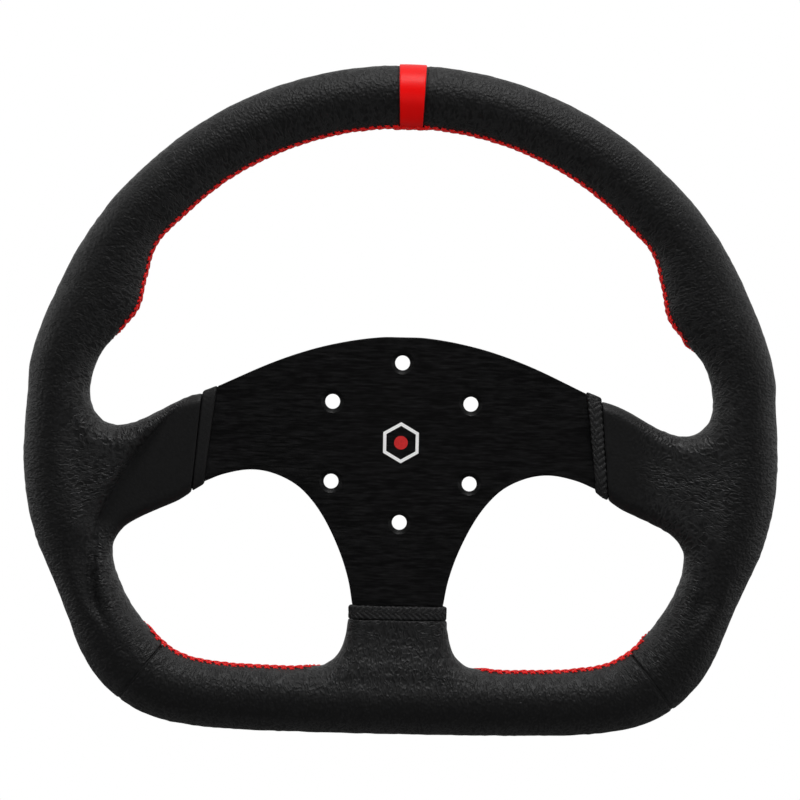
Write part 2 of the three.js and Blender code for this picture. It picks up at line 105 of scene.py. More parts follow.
# %% [markdown]
# The rim is a D: round at the top, flat at the bottom, with a dip on the inner side for the
# thumbs. Each station gives the outer and the inner edge of the rim, from the top round the right
# side to the middle of the bottom. The left half is the same, mirrored.

# %% The rim's two edges
OUTER_RADIUS, INNER_RADIUS = 165.4, 138.2
MID_Y = -2.0  # the rim is centred on the plate's thickness
RIM_HALF_DEPTH = 15.0
STATION_DEGREES = 12  # from one station to the next along the round top


def on_circle(radius, degrees):
    return [radius * math.sin(math.radians(degrees)), radius * math.cos(math.radians(degrees))]


round_top = [[on_circle(OUTER_RADIUS, a), on_circle(INNER_RADIUS, a)]
             for a in range(0, 49, STATION_DEGREES)]
rim_right = np.array(round_top + [
    [[136.6, 93.2], [109.6, 83.5]], [[146.2, 77], [113.4, 70]], [[153.6, 61], [116.6, 56.5]],
    [[159.6, 46], [124.8, 46]], [[163.3, 32], [132.6, 36]], [[164, 18], [136.6, 23]],
    [[165, 4], [137.3, 7]], [[165.2, -12], [136, -9]], [[163.2, -29], [132.6, -27]],
    [[158.4, -46.5], [127.2, -45]], [[151, -63], [123.8, -59]], [[144.4, -79], [117.8, -71.8]],
    [[138.6, -93.5], [109.8, -82]], [[130.4, -106], [101.6, -90]], [[118, -116.8], [93.5, -94.8]],
    [[103.5, -123], [84, -97.2]], [[86, -126], [72, -98.5]], [[60, -127.3], [53, -99.2]],
    [[30, -127.7], [28, -99.2]], [[0, -127.7], [0, -99.2]],
])
stations = np.vstack([rim_right, rim_right[-2:0:-1] * LEFT])
outer_edge = spline(stations[:, 0], closed=True)
inner_edge = spline(stations[:, 1], closed=True)
rim_middle = (outer_edge + inner_edge) / 2
print("rim:", len(stations), "stations,", len(rim_middle), "points round it")

# %% [markdown]
# Where a spoke meets the rim the leather swings out over it, so the openings of the wheel have
# their own edges there: the thumb pockets. One line goes round the upper opening from spoke to
# spoke, and one round each lower opening.

# %% Edges of the three openings
pocket_above = [[136, 14.5], [132.6, 8.8], [127, 5.6], [120.5, 5.8], [113, 8.4], [104, 13.2],
                [94, 18.6], [87, 21.4], [80.2, 23.3]]
pocket_below = [[85.8, -19.3], [92, -24], [97.5, -27.6], [106, -31.4], [114, -35.2],
                [120.5, -39.4], [124.6, -45], [125.6, -51], [124.4, -58.5]]
bottom_web = [[38, -99], [31.5, -97.8], [26.4, -94], [23.4, -88], [22, -81], [21.6, -74],
              [20.4, -69.5]]
upper_right = np.vstack([rim_right[:11, 1], pocket_above])
upper_opening = spline(np.vstack([upper_right[:0:-1] * LEFT, upper_right]))
lower_points = np.vstack([pocket_below, rim_right[16:23, 1], bottom_web])
lower_right_opening = spline(lower_points)
lower_left_opening = spline(lower_points[::-1] * LEFT)

# %% [markdown]
# To shape the leather we have to know, for any place, how far it is from such a line and how far
# along the line the nearest point lies. This is the workhorse of the whole script.

# %% Distance to a line
def nearest(points, line, closed=False):
    """For each point: its distance left of the line (less than nothing on the right), and how far
    along the line the nearest place is."""
    a = (line if closed else line[:-1]).astype(np.float32)
    b = (np.roll(line, -1, 0) if closed else line[1:]).astype(np.float32)
    run = b - a
    size = (run**2).sum(1)
    start = np.concatenate([[0], np.cumsum(np.sqrt(size))[:-1]])
    side, along = np.empty(len(points)), np.empty(len(points))
    batch = 4096
    for k in range(0, len(points), batch):
        p = points[k:k + batch].astype(np.float32)
        dx, dz = p[:, :1] - a[:, 0], p[:, 1:] - a[:, 1]
        t = np.clip((dx * run[:, 0] + dz * run[:, 1]) / size, 0, 1)
        away = (dx - t * run[:, 0])**2 + (dz - t * run[:, 1])**2
        i = away.argmin(1)
        row = np.arange(len(i))
        turn = run[i, 0] * dz[row, i] - run[i, 1] * dx[row, i]
        side[k:k + batch] = np.sqrt(away[row, i]) * np.where(turn < 0, -1, 1)
        along[k:k + batch] = start[i] + t[row, i] * np.sqrt(size[i])
    return side, along


# %% [markdown]
# ## The padded shape
# Foam and leather make one flowing body: an oval rim and three flat sleeves that melt into it.
# Joining separate meshes would leave hard creases, so we describe the shape as a field instead:
# for each place seen from the front, how thick the wheel is there. Squared thicknesses blend
# well. An oval is simply `depth² x (1 - (across / half width)²)`, and it passes smoothly through
# zero at its edge.

# %% How thick the sleeves are
CUFF_TOP, CUFF_BOTTOM = np.array([87.2, 20.9]), np.array([91.0, -23.0])  # where a side sleeve ends
BOTTOM_CUFF_Z = -77.4
END_GAP = 0.3
SLEEVE_LIMIT = 12.25  # half the greatest depth of a side sleeve
FOLD = spline([[-80, 25.5], [-88, 20.2], [-97.3, 13.6], [-107.7, 2.4], [-115.8, -7.9],
               [-123, -19.9], [-128.5, -30.1], [-131.8, -39], [-133.8, -50], [-134.9, -60],
               [-133, -71], [-126, -84], [-118, -94]])
VALLEY = spline([[118, -30], [126, -37], [131, -45], [133, -54], [132.5, -66], [127.5, -78],
                 [120, -88]])


def folded_depth(points):
    """Half the depth beside the fold on the left: a flat pad on one side and a steep round
    shoulder on the rim's side. Towards the bottom the pad's side rises too, and the fold runs out
    into a soft valley."""
    aside = nearest(points, FOLD)[0]
    past, before = np.maximum(-aside, 0), np.maximum(aside, 0)
    low = smoothstep(-38, -54, points[:, 1])
    pad = np.interp(-points[:, 1], [36, 50, 60, 72, 84], [6.4, 8.6, 10.2, 11.6, 15])
    shoulder = 1 - (1 - np.clip(past / 3.5, 0, 1))**2
    return pad + low * 0.7 * (np.hypot(before, 3) - 3) + (3.2 - 2.4 * low) * shoulder + 0.5 * past


def valley_depth(points):
    """Half the depth allowed by the shallow valley on the right."""
    floor = np.interp(-points[:, 1], [30, 42, 54, 68, 84], [15.5, 11.6, 11.2, 11.6, 15.5])
    return floor + 0.6 * (np.hypot(nearest(points, VALLEY)[0], 4) - 4)


def right_depth(x):
    """Half the depth of the right sleeve, which swells evenly towards the rim."""
    return np.interp(x, [85, 96, 105, 113.5, 120.5, 126, 130, 135],
                     [6, 6.5, 7.25, 8.25, 9.5, 10.75, 11.75, SLEEVE_LIMIT])


# %% [markdown]
# The field itself: the rim's oval, the two side sleeves and the bottom one, joined by a soft
# maximum. Each sleeve fades out along the rim, and ends a little inside its cuff.

# %% The thickness field
JOIN_LEFT, JOIN_RIGHT, JOIN_BOTTOM, JOIN_VALLEY = 40, 90, 60, 50  # softness, in square millimetres
END_STEEPNESS, FADE_DROP, EMPTY = 8, 60, -400


def soft_max(a, b, softness):
    mix = np.clip(softness - np.abs(a - b), 0, None) / softness
    return np.maximum(a, b) + mix**2 * softness / 4


def past_cuff(points):
    """How far a place lies past the end of a side sleeve, towards the plate."""
    along = (CUFF_BOTTOM - CUFF_TOP) / np.linalg.norm(CUFF_BOTTOM - CUFF_TOP)
    away = np.stack([np.abs(points[:, 0]), points[:, 1]], 1) - CUFF_TOP
    return away[:, 0] * along[1] - away[:, 1] * along[0]


def rim_place(points):
    """Across the rim, outwards from its middle, and half the rim's width there."""
    to_outer = -nearest(points, outer_edge, closed=True)[0]
    to_inner = nearest(points, inner_edge, closed=True)[0]
    return (to_inner - to_outer) / 2, np.maximum((to_outer + to_inner) / 2, 5)


def rounded(depth, from_edge):
    """A flat body of this half depth with a round edge."""
    width = 0.8 * depth + 0.1
    return depth**2 * (1 - (np.clip(width - from_edge, 0, None) / width)**2)


def half_depth_squared(points):
    x, z = points.T
    across, half = rim_place(points)
    share = across / half
    rim = RIM_HALF_DEPTH**2 * (1 - share**2)
    beyond = 1.2 * RIM_HALF_DEPTH**2 * np.clip(share, 0, None)**2
    above = nearest(points, upper_opening)[0]
    below = np.where(x > 0, nearest(points, lower_right_opening)[0],
                     nearest(points, lower_left_opening)[0])
    fade = smoothstep(34, 14, z) * smoothstep(-88, -72, z)
    fold = folded_depth(points)
    depth = np.where(x > 0, right_depth(x), np.minimum(fold, SLEEVE_LIMIT)) * fade
    side = rounded(depth, np.minimum(above, below)) - beyond
    side -= FADE_DROP * (1 - fade) + END_STEEPNESS * np.clip(past_cuff(points) - 3, 0, None)**2
    fade = smoothstep(54, 32, np.abs(x)) * smoothstep(-60, -70, z)
    depth = np.interp(-z, [75, 82, 88, 94, 98.2, 102], [6, 6.5, 7.5, 9.25, 11, 12]) * fade
    bottom = rounded(depth, below) - beyond
    bottom -= FADE_DROP * (1 - fade) + END_STEEPNESS * np.clip(z - BOTTOM_CUFF_Z - 3, 0, None)**2
    joined = soft_max(rim, side, np.where(x > 0, JOIN_RIGHT, JOIN_LEFT))
    joined = soft_max(joined, bottom, JOIN_BOTTOM)
    allowed = np.where(x > 0, valley_depth(points), fold)**2
    crisp = 8 + 42 * smoothstep(-38, -54, z)
    return np.clip(-soft_max(-joined, -allowed, np.where(x > 0, JOIN_VALLEY, crisp)), EMPTY, None)


# %% [markdown]
# A grid of little cubes samples the field, and OpenVDB, the volume library inside Blender, walks
# through it and lays an even net of quads over the place where the value crosses zero. Even quads
# matter here: every wrinkle that we add later needs points to move.

# %% A net of quads over the field
STEP = 1.0
xs = np.arange(-171, 171 + STEP, STEP)
ys = np.arange(-19.5, 15.5 + STEP, STEP)
zs = np.arange(-133, 171 + STEP, STEP)
flat = np.stack(np.meshgrid(xs, zs, indexing="ij"), -1).reshape(-1, 2)
squared = half_depth_squared(flat).reshape(len(xs), len(zs))
slope_x, slope_z = np.gradient(squared, STEP)
depth = (ys - MID_Y)[None, :, None]
steep = np.sqrt(4 * depth**2 + (slope_x**2 + slope_z**2)[:, None, :] + 1)
field = (depth**2 - squared[:, None, :]) / steep
BAND = 3 * STEP  # beyond this the field's value doesn't matter


def net_over(samples, step):
    """Points in millimetres, and quads, where the samples, this far apart, cross zero."""
    grid = openvdb.FloatGrid(background=BAND)
    grid.copyFromArray(np.clip(samples, -BAND, BAND).astype(np.float32))
    points, quads = grid.convertToQuads(isovalue=0)
    return points * step + [xs[0], ys[0], zs[0]], quads


net, quads = net_over(field, STEP)
print("padded shape:", len(net), "points and", len(quads), "quads")

# %% [markdown]
# ## Cutting the panels
# The leather is three panels. They meet the red marker at the top, butt against each other at the
# two lower corners, and end at the cuffs on the spokes. Each seam is cut with planes close beside
# it: the strip between goes, and the extra cuts give the edge enough points to be rolled under.

# %% Seams and cuffs to cut at
SEAM, CORNER_SEAM = 0.5, 0.9
MARKER_WIDTH, MARKER_OFFSET = 12.0, 2.0
CORNER_IN, CORNER_OUT = np.array([102.8, -90.6]), np.array([121.2, -114.4])
ROLL = [0, 0.3, 0.7, 1.2]  # distances from a cut edge where it is rolled

mesh = bpy.data.meshes.new("net")
mesh.from_pydata(net.tolist(), [], quads.tolist())
shell = bmesh.new()
shell.from_mesh(mesh)
bmesh.ops.recalc_face_normals(shell, faces=shell.faces)


def cut(start, end, offsets, reach=8):
    """Cuts the shell beside the line from start to end, this far to its left."""
    a, b = Vector((start[0], 0, start[1])), Vector((end[0], 0, end[1]))
    along = (b - a).normalized()
    left = Vector((-along.z, 0, along.x))
    length = (b - a).length

    def close(face):
        away = face.calc_center_median() - a
        return abs(away.dot(left)) < reach and -reach < away.dot(along) < length + reach

    found = [f for f in shell.faces if close(f)]
    edges = list({e for f in found for e in f.edges})
    geometry = found + edges + list({v for f in found for v in f.verts})
    for offset in offsets:
        made = bmesh.ops.bisect_plane(shell, geom=geometry, dist=1e-6,
                                      plane_co=a + left * offset, plane_no=left)
        geometry = made["geom"]


def marker_line(arc):
    angle = math.degrees(arc / OUTER_RADIUS)
    return on_circle(INNER_RADIUS, angle), on_circle(OUTER_RADIUS, angle)


half_band = MARKER_WIDTH / 2 + SEAM
cut(*marker_line(MARKER_OFFSET - half_band), ROLL)
cut(*marker_line(MARKER_OFFSET + half_band), [-r for r in ROLL])
for side in (1, -1):
    turn = np.array([side, 1])
    cut(CORNER_IN * turn, CORNER_OUT * turn, [s * (CORNER_SEAM / 2 + r) for r in ROLL for s in (1, -1)])
    cut(CUFF_TOP * turn, CUFF_BOTTOM * turn, [side * (END_GAP + r) for r in ROLL])
cut([-22, BOTTOM_CUFF_Z], [22, BOTTOM_CUFF_Z], [-END_GAP - r for r in ROLL])
bmesh.ops.remove_doubles(shell, verts=shell.verts, dist=0.08)  # where a cut just missed a corner
bmesh.ops.recalc_face_normals(shell, faces=shell.faces)
print("cut shell:", len(shell.faces), "faces")

# %% [markdown]
# Every face now lies clearly on one side of each cut, so its middle tells what it belongs to.

# %% Sort the faces into panels
def beside(points, start, end):
    """Distance left of the straight line through two points."""
    along = (np.array(end) - start) / np.linalg.norm(np.array(end) - start)
    away = points - start
    return along[0] * away[:, 1] - along[1] * away[:, 0]


def seam_distance(points):
    """How far each place is from the nearest cut edge of its panel, and which panel it is in:
    0 upper left, 1 upper right, 2 bottom, and -1 for what is cut away."""
    x, z = points.T
    folded = np.stack([np.abs(x), z], 1)
    top = np.where(z > 100, 1, np.nan)
    left_of_marker = beside(points, *marker_line(MARKER_OFFSET - half_band)) * top
    right_of_marker = -beside(points, *marker_line(MARKER_OFFSET + half_band)) * top
    marker = np.fmax(left_of_marker, right_of_marker)
    low = np.where(z < -60, 1, np.nan)
    corner = beside(folded, CORNER_IN, CORNER_OUT) * low
    cuff = np.where((np.abs(x) < 110) & (np.abs(z) < 50), -past_cuff(points) - END_GAP, np.nan)
    bottom = np.where((np.abs(x) < 30) & (z > -90) & (z < -50), BOTTOM_CUFF_Z - END_GAP - z, np.nan)
    edges = np.fmin(np.fmin(marker, np.abs(corner) - CORNER_SEAM / 2), np.fmin(cuff, bottom))
    edges = np.where(np.isnan(edges), 99, edges)
    panel = np.where(x > MARKER_OFFSET, 1, 0)
    panel = np.where((z < -60) & (beside(folded, CORNER_IN, CORNER_OUT) < 0), 2, panel)
    return edges, np.where(edges < 0, -1, panel)


shell.verts.index_update()
shell.normal_update()
corners = np.array([v.co for v in shell.verts])
outwards = np.array([v.normal for v in shell.verts])  # taken before the panels part
faces = [[v.index for v in f.verts] for f in shell.faces]
middles = np.array([corners[f].mean(0) for f in faces])
panel_of_face = seam_distance(middles[:, [0, 2]])[1]
shell.free()
print("faces in each panel:", [int((panel_of_face == k).sum()) for k in range(3)])

# %% [markdown]
# ## Wrinkles and rolled edges
# Leather that is stretched round a bend gathers into small folds across the rim, most of all
# round the thumb pockets. Each point of a panel gets coordinates that follow the wheel: along
# the rim, across it, and front to back. Patterns laid out in these bend with the rim, both the
# folds made here and the finer grain in the material later.

# %% Smooth random bumps
def soft_noise(points, size, seed):
    """Smooth random values from -1 to 1, with bumps about this size in each direction."""
    table = np.random.default_rng(seed).uniform(-1, 1, (64, 64, 64))
    scaled = points / np.array(size)
    cell = np.floor(scaled).astype(int)
    part = scaled - cell
    part = part * part * (3 - 2 * part)
    total = np.zeros(len(points))
    for corner in itertools.product((0, 1), repeat=3):
        weight = np.prod(np.where(corner, part, 1 - part), axis=1)
        total += weight * table[tuple(((cell + corner) % 64).T)]
    return total


# %% Coordinates that follow the wheel
APART = 700  # longer than any opening's edge, so that their patterns differ


def wheel_coordinates(points):
    """Place along and across the rim, along and away from the nearest opening, and how much of
    the look is a sleeve's, a fold's and a smooth pad's."""
    seen = points[:, [0, 2]]
    x, z = seen.T
    deep = points[:, 1] - MID_Y
    along_rim = nearest(seen, rim_middle, closed=True)[1]
    across, half = rim_place(seen)
    openings = [nearest(seen, line) for line in (upper_opening, lower_right_opening, lower_left_opening)]
    away = np.stack([o[0] for o in openings])
    which = np.abs(away).argmin(0)
    row = np.arange(len(seen))
    from_edge = away[which, row]
    along_edge = np.stack([o[1] for o in openings])[which, row] + which * APART
    second = np.sort(np.abs(away), axis=0)[1]
    between = smoothstep(2, 10, second - np.abs(from_edge))  # nothing half way between openings
    near_pocket = smoothstep(22, 8, from_edge) * smoothstep(40, 24, z) * between
    near_pocket *= np.where(z < -40, smoothstep(-92, -80, z), 1)
    fold = -nearest(seen, FOLD)[0]
    left_pad = np.where(x < 0, smoothstep(1.0, -0.5, fold) * smoothstep(-46, -36, z), 0)
    right_pad = np.where(x > 0, smoothstep(118, 98, x) * (np.abs(z) < 60), 0)
    pad = np.maximum(left_pad, 0.9 * right_pad) * (np.abs(z) < 60)
    inner = smoothstep(0.1, -0.75, across / half)
    outer = smoothstep(0.35, 0.9, across / half)
    joint = smoothstep(45, 10, np.hypot(np.abs(x) - 136, (z + 12) * 0.8))
    wrinkle = np.clip(0.36 + 0.55 * inner + 0.5 * outer + 0.1 * joint, 0, 1) * (1 - 0.97 * pad)
    return {
        "rim_grain": np.stack([along_rim, across, deep], 1),
        "pocket_grain": np.stack([along_edge, from_edge, deep], 1),
        "pocket": near_pocket, "wrinkle": wrinkle, "pad": pad,
    }


# %% [markdown]
# Now the points move, in or out along the surface: low swells from hand stitching, folds where
# the mask asks for them, a groove under the lacing, and the turned-in edge at every seam.

# %% Move the points of a panel
FOLD_HEIGHT, SWELL_HEIGHT, TURNED_IN = 0.18, 0.12, 0.35
GROOVE_DEPTH, GROOVE_WIDTH = 0.05, 0.9
FOLD_SIZE = [2.1, 5, 5]


def relief(points, look, edges):
    folds_rim = soft_noise(look["rim_grain"], FOLD_SIZE, 11)
    folds_pocket = soft_noise(look["pocket_grain"], FOLD_SIZE, 12)
    folds = folds_rim + (folds_pocket - folds_rim) * look["pocket"]
    swell = soft_noise(points, [9, 9, 9], 13)
    height = FOLD_HEIGHT * folds * look["wrinkle"] + SWELL_HEIGHT * swell * (1 - 0.7 * look["pad"])
    across = look["rim_grain"][:, 1]
    laced = (look["pocket_grain"][:, 1] < 3) & (across < 0)
    groove = GROOVE_DEPTH * np.exp(-((points[:, 1] - MID_Y) / GROOVE_WIDTH)**2)
    height -= np.where(laced, groove, 0)
    rolled = np.clip(1 - edges / ROLL[-1], 0, 1)
    return height - TURNED_IN * rolled**2.2


# %% [markdown]
# A panel is a skin 1.2 mm thick. The Solidify modifier grows that thickness inwards and closes
# the edges, and the result is then made a plain mesh.

# %% Build the three panels
LEATHER = 1.2


def plain(obj, name):
    """The object's mesh with its modifiers worked in, as an object without any."""
    seen = obj.evaluated_get(bpy.context.evaluated_depsgraph_get())
    made = bpy.data.objects.new(name, bpy.data.meshes.new_from_object(seen))
    bpy.context.scene.collection.objects.link(made)
    bpy.data.objects.remove(obj)
    return made


def mesh_object(name, points, polygons):
    """A smooth object from points in millimetres."""
    made = bpy.data.meshes.new(name)
    made.from_pydata((np.asarray(points) * MM).tolist(), [], polygons)
    made.shade_smooth()
    obj = bpy.data.objects.new(name, made)
    bpy.context.scene.collection.objects.link(obj)
    return obj


def face_outwards(obj):
    """Turns every face outwards, and counts the edges that aren't closed."""
    work = bmesh.new()
    work.from_mesh(obj.data)
    bmesh.ops.recalc_face_normals(work, faces=work.faces)
    unclosed = sum(not e.is_manifold for e in work.edges)
    work.to_mesh(obj.data)
    work.free()
    return unclosed


def add_attribute(obj, name, values):
    kind, field_name = ("FLOAT_VECTOR", "vector") if values.ndim == 2 else ("FLOAT", "value")
    attribute = obj.data.attributes.new(name, kind, "POINT")
    attribute.data.foreach_set(field_name, values.astype(np.float32).ravel())


def normals_of(obj):
    normals = np.empty(len(obj.data.vertices) * 3, np.float32)
    obj.data.vertices.foreach_get("normal", normals)
    return normals.reshape(-1, 3)


panels, covers = {}, []
for k, name in enumerate(("leather_upper_left", "leather_upper_right", "leather_bottom")):
    own = [faces[i] for i in np.flatnonzero(panel_of_face == k)]
    used = np.unique(np.concatenate([np.array(f) for f in own]))
    renumber = np.zeros(len(corners), int)
    renumber[used] = np.arange(len(used))
    points = corners[used]
    own = [renumber[f].tolist() for f in own]
    panel = mesh_object("raw_" + name, points, own)
    look = wheel_coordinates(points)
    edges = seam_distance(points[:, [0, 2]])[0]
    points = points + outwards[used] * relief(points, look, edges)[:, None]
    panel.data.vertices.foreach_set("co", (points * MM).astype(np.float32).ravel())
    for key, values in look.items():
        add_attribute(panel, key, values)
    covers.append((points, own))
    wall = panel.modifiers.new("Wall", "SOLIDIFY")
    wall.thickness = LEATHER * MM
    wall.offset = -1
    panels[name] = plain(panel, "panel_" + name[8:])
    print(name, len(panels[name].data.polygons), "faces")

# %% [markdown]
# ## Foam
# Under the leather is moulded foam of the same shape, only smaller. The field already says how
# deep each place lies, so a net over a deeper value gives the foam, and every second sample is
# enough for it. Where the spokes leave the sleeves the foam is cut off square.

# %% The foam under the leather
FOAM_UNDER = 1.7
inside = np.maximum(field[::2, ::2, ::2] + FOAM_UNDER, -BAND)
where = np.stack(np.meshgrid(xs[::2], zs[::2], indexing="ij"), -1).reshape(-1, 2)
on_spoke = (np.abs(where[:, 0]) < 110) & (np.abs(where[:, 1]) < 50)
on_stem = (np.abs(where[:, 0]) < 30) & (where[:, 1] > -90) & (where[:, 1] < -50)
past_stem = where[:, 1] - BOTTOM_CUFF_Z + 1
ended = np.where(on_spoke, past_cuff(where) + 1, np.where(on_stem, past_stem, -9))
inside = np.maximum(inside, ended.reshape(inside.shape[0], 1, inside.shape[2]))
net, quads = net_over(inside, 2 * STEP)
foam = mesh_object("foam", net, quads.tolist())
face_outwards(foam)
print("foam:", len(quads), "faces")

# %% [markdown]
# ## Materials
# A material is a small network of nodes. This helper adds one node, and links or sets its inputs
# in the same line, so that a network reads from top to bottom.

# %% A helper for node networks
def add_node(tree, kind, inputs=(), **settings):
    made = tree.nodes.new(kind)
    for key, value in settings.items():
        setattr(made, key, value)
    for key, value in dict(inputs).items():
        if isinstance(value, bpy.types.NodeSocket):
            tree.links.new(value, made.inputs[key])
        else:
            made.inputs[key].default_value = value
    return made


def new_material(name, **settings):
    """A material, its node tree and its main shader, with these settings on the shader."""
    material = bpy.data.materials.new(name)
    material.use_nodes = True
    shader = material.node_tree.nodes["Principled BSDF"]
    for key, value in settings.items():
        shader.inputs[key.replace("_", " ")].default_value = value
    return material, material.node_tree, shader


def arithmetic(tree, operation, a, b=0.5):
    return add_node(tree, "ShaderNodeMath", {0: a, 1: b}, operation=operation).outputs[0]


def spread(tree, value, to_low, to_high, low=0, high=1):
    """Maps a value from one range to another, and stops at the ends."""
    inputs = {"Value": value, "From Min": low, "From Max": high, "To Min": to_low, "To Max": to_high}
    return add_node(tree, "ShaderNodeMapRange", inputs).outputs["Result"]


def attribute(tree, name, output="Fac"):
    return add_node(tree, "ShaderNodeAttribute", attribute_name=name).outputs[output]


def scaled(tree, vector, size, start=(0, 0, 0)):
    """Coordinates in which a pattern of size 1 comes out at this size."""
    inputs = {0: vector, 1: [1 / s for s in size], 2: start}
    return add_node(tree, "ShaderNodeVectorMath", inputs, operation="MULTIPLY_ADD").outputs[0]


def noise(tree, vector, scale=1.0, detail=2.0, distortion=0.0, roughness=0.5):
    inputs = {"Vector": vector, "Scale": scale, "Detail": detail, "Roughness": roughness,
              "Distortion": distortion}
    return add_node(tree, "ShaderNodeTexNoise", inputs).outputs["Fac"]


def object_coordinates(tree):
    return add_node(tree, "ShaderNodeTexCoord").outputs["Object"]


def two_tone(tree, shader, share, dark, light):
    """Colours the shader from dark to light as the share goes from 0 to 1."""
    tone = add_node(tree, "ShaderNodeValToRGB", {"Fac": share})
    for element, colour in zip(tone.color_ramp.elements, (dark, light)):
        element.color = (*colour, 1)
    tree.links.new(tone.outputs["Color"], shader.inputs["Base Color"])


def bump(tree, shader, height, distance_mm):
    inputs = {"Height": height, "Distance": distance_mm * MM, "Strength": 1.0}
    made = add_node(tree, "ShaderNodeBump", inputs)
    tree.links.new(made.outputs["Normal"], shader.inputs["Normal"])


# %% [markdown]
# ### Black leather
# Close up, the leather shows three things: worm-like folds about a millimetre wide that run
# across the rim, a pebbled grain between them, and a faint sheen that is duller in the pores.
# The folds are noise that is short along the rim and long across it. A crest stands wherever the
# noise passes through its middle value, which gives long wandering lines. The noise is read in the
# coordinates stored on the panels, so the lines curve with the rim and turn round the pockets.

# %% The leather material
def leather_material():
    material, tree, shader = new_material("leather", Specular_IOR_Level=0.4)
    wrinkle = attribute(tree, "wrinkle")
    drift = add_node(tree, "ShaderNodeTexNoise", {"Vector": object_coordinates(tree),
                     "Scale": 1 / (4.0 * MM), "Detail": 1.0}).outputs["Color"]
    sway = add_node(tree, "ShaderNodeVectorMath", {0: drift, "Scale": 2.2}, operation="SCALE").outputs[0]
    folds = []
    for name in ("rim_grain", "pocket_grain"):
        swayed = add_node(tree, "ShaderNodeVectorMath", {0: attribute(tree, name, "Vector"), 1: sway},
                          operation="ADD").outputs[0]
        worms = noise(tree, scaled(tree, swayed, (1.65, 3.6, 3.6)), detail=1.0)
        from_crest = arithmetic(tree, "ABSOLUTE", arithmetic(tree, "SUBTRACT", worms, 0.5))
        folds.append(spread(tree, from_crest, 1, 0, 0, 0.17))
    share = {0: attribute(tree, "pocket"), 2: folds[0], 3: folds[1]}
    mixed = add_node(tree, "ShaderNodeMix", share).outputs[0]
    place = object_coordinates(tree)
    pebble = add_node(tree, "ShaderNodeTexVoronoi", {"Vector": place, "Scale": 1 / (1.3 * MM),
                      "Smoothness": 0.5}, feature="SMOOTH_F1").outputs["Distance"]
    fine = noise(tree, place, scale=1 / (0.45 * MM))
    height = arithmetic(tree, "MULTIPLY", mixed, wrinkle)
    pebble = arithmetic(tree, "MULTIPLY", pebble, spread(tree, wrinkle, -1.1, -0.4, 0.2, 0.9))
    pebble = arithmetic(tree, "MULTIPLY", pebble, spread(tree, attribute(tree, "pad"), 1.0, 0.2))
    height = arithmetic(tree, "ADD", height, pebble)
    height = arithmetic(tree, "ADD", height, arithmetic(tree, "MULTIPLY", fine, 0.03))
    bump(tree, shader, height, 0.30)
    # Painted shade: the colour follows the height, darker in the low parts between the fold crests and
    # between the pebbles, lighter on top of them.
    two_tone(tree, shader, spread(tree, height, 0, 1, -0.2, 0.9),
             (0.0030, 0.0030, 0.0032), (0.0145, 0.0146, 0.0150))
    rough = spread(tree, height, 0.62, 0.5, -0.2, 0.9)
    tree.links.new(rough, shader.inputs["Roughness"])
    return material


leather = leather_material()
for name, panel in panels.items():
    panel.data.materials.append(leather)
    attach(panel, "root")
    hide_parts(name)

# %% [markdown]
# ## The red marker
# A band of smooth red leather at the top tells the driver where straight ahead is. It is wrapped
# round the rim between the two black panels and stands a little proud of them, with its edges
# turned under. A band is a small rounded outline carried round the rim's oval.

# %% Bands round an oval
def band_profile(width, thickness, rounding, tongue=0.0, step=0.4):
    """Points round a band's cut section, as distance across it and depth under its outer face.
    A tongue reaches on from its far side, low enough to slip under the leather there."""
    turn = np.linspace(0, math.pi / 2, 5)
    corner = [(rounding * (1 - math.cos(a)), rounding * (1 - math.sin(a))) for a in turn]
    flat = np.linspace(rounding, width - rounding, max(3, int(width / step)))[1:-1]
    far = [(width - a, d) for a, d in corner[::-1]]
    if tongue:
        far += [(width, LEATHER + 0.4), (width + tongue, LEATHER + 0.5)]
    back = [(width + tongue, thickness), (width / 2, thickness), (0, thickness)]
    return corner + [(a, 0) for a in flat] + far + back


def quads_between(rows, size, start=0, ring=False):
    """Quads from each row of points to the next. A row is a closed loop of this many points."""
    quads = []
    for a in range(rows if ring else rows - 1):
        here, there = start + a * size, start + (a + 1) % rows * size
        for i in range(size):
            j = (i + 1) % size
            quads.append([here + i, here + j, there + j, there + i])
    return quads


def band_object(name, loops):
    """Joins closed loops of points, and the last to the first, into a ring."""
    quads = quads_between(len(loops), len(loops[0]), ring=True)
    obj = mesh_object(name, np.concatenate(loops), quads)
    face_outwards(obj)
    return obj


# %% The marker band
MARKER_RISE = 0.5


def oval_loop(inner, outer, sunk, sides=128):
    """The rim's oval between an inner and an outer place, this far under the surface."""
    inner, outer = np.array(inner), np.array(outer)
    half = np.linalg.norm(outer - inner) / 2
    outward = (outer - inner) / (2 * half)
    turn = np.linspace(0, 2 * math.pi, sides, endpoint=False)
    reach = (half - sunk) * np.cos(turn)
    middle = (inner + outer) / 2
    deep = MID_Y + (RIM_HALF_DEPTH - sunk) * np.sin(turn)
    return np.stack([middle[0] + reach * outward[0], deep, middle[1] + reach * outward[1]], 1)


marker_profile = band_profile(MARKER_WIDTH, LEATHER + MARKER_RISE, 0.45)
marker_start = MARKER_OFFSET - MARKER_WIDTH / 2
marker = band_object("marker", [oval_loop(*marker_line(marker_start + a), d - MARKER_RISE)
                                for a, d in marker_profile])

# %% [markdown]
# In the seams themselves you look down at the folded edges of the leather. A narrow band just
# under the surface stands for them, so that you don't look into the wheel.

# %% Folded edges in the seams
def seam_fold(name, line_at, width, sunk=0.2):
    """line_at gives the inner and outer end of the section, this far across the seam."""
    loops = [oval_loop(*line_at(a - width / 2), d + sunk) for a, d in band_profile(width, 1.6, 0.12)]
    return band_object(name, loops)


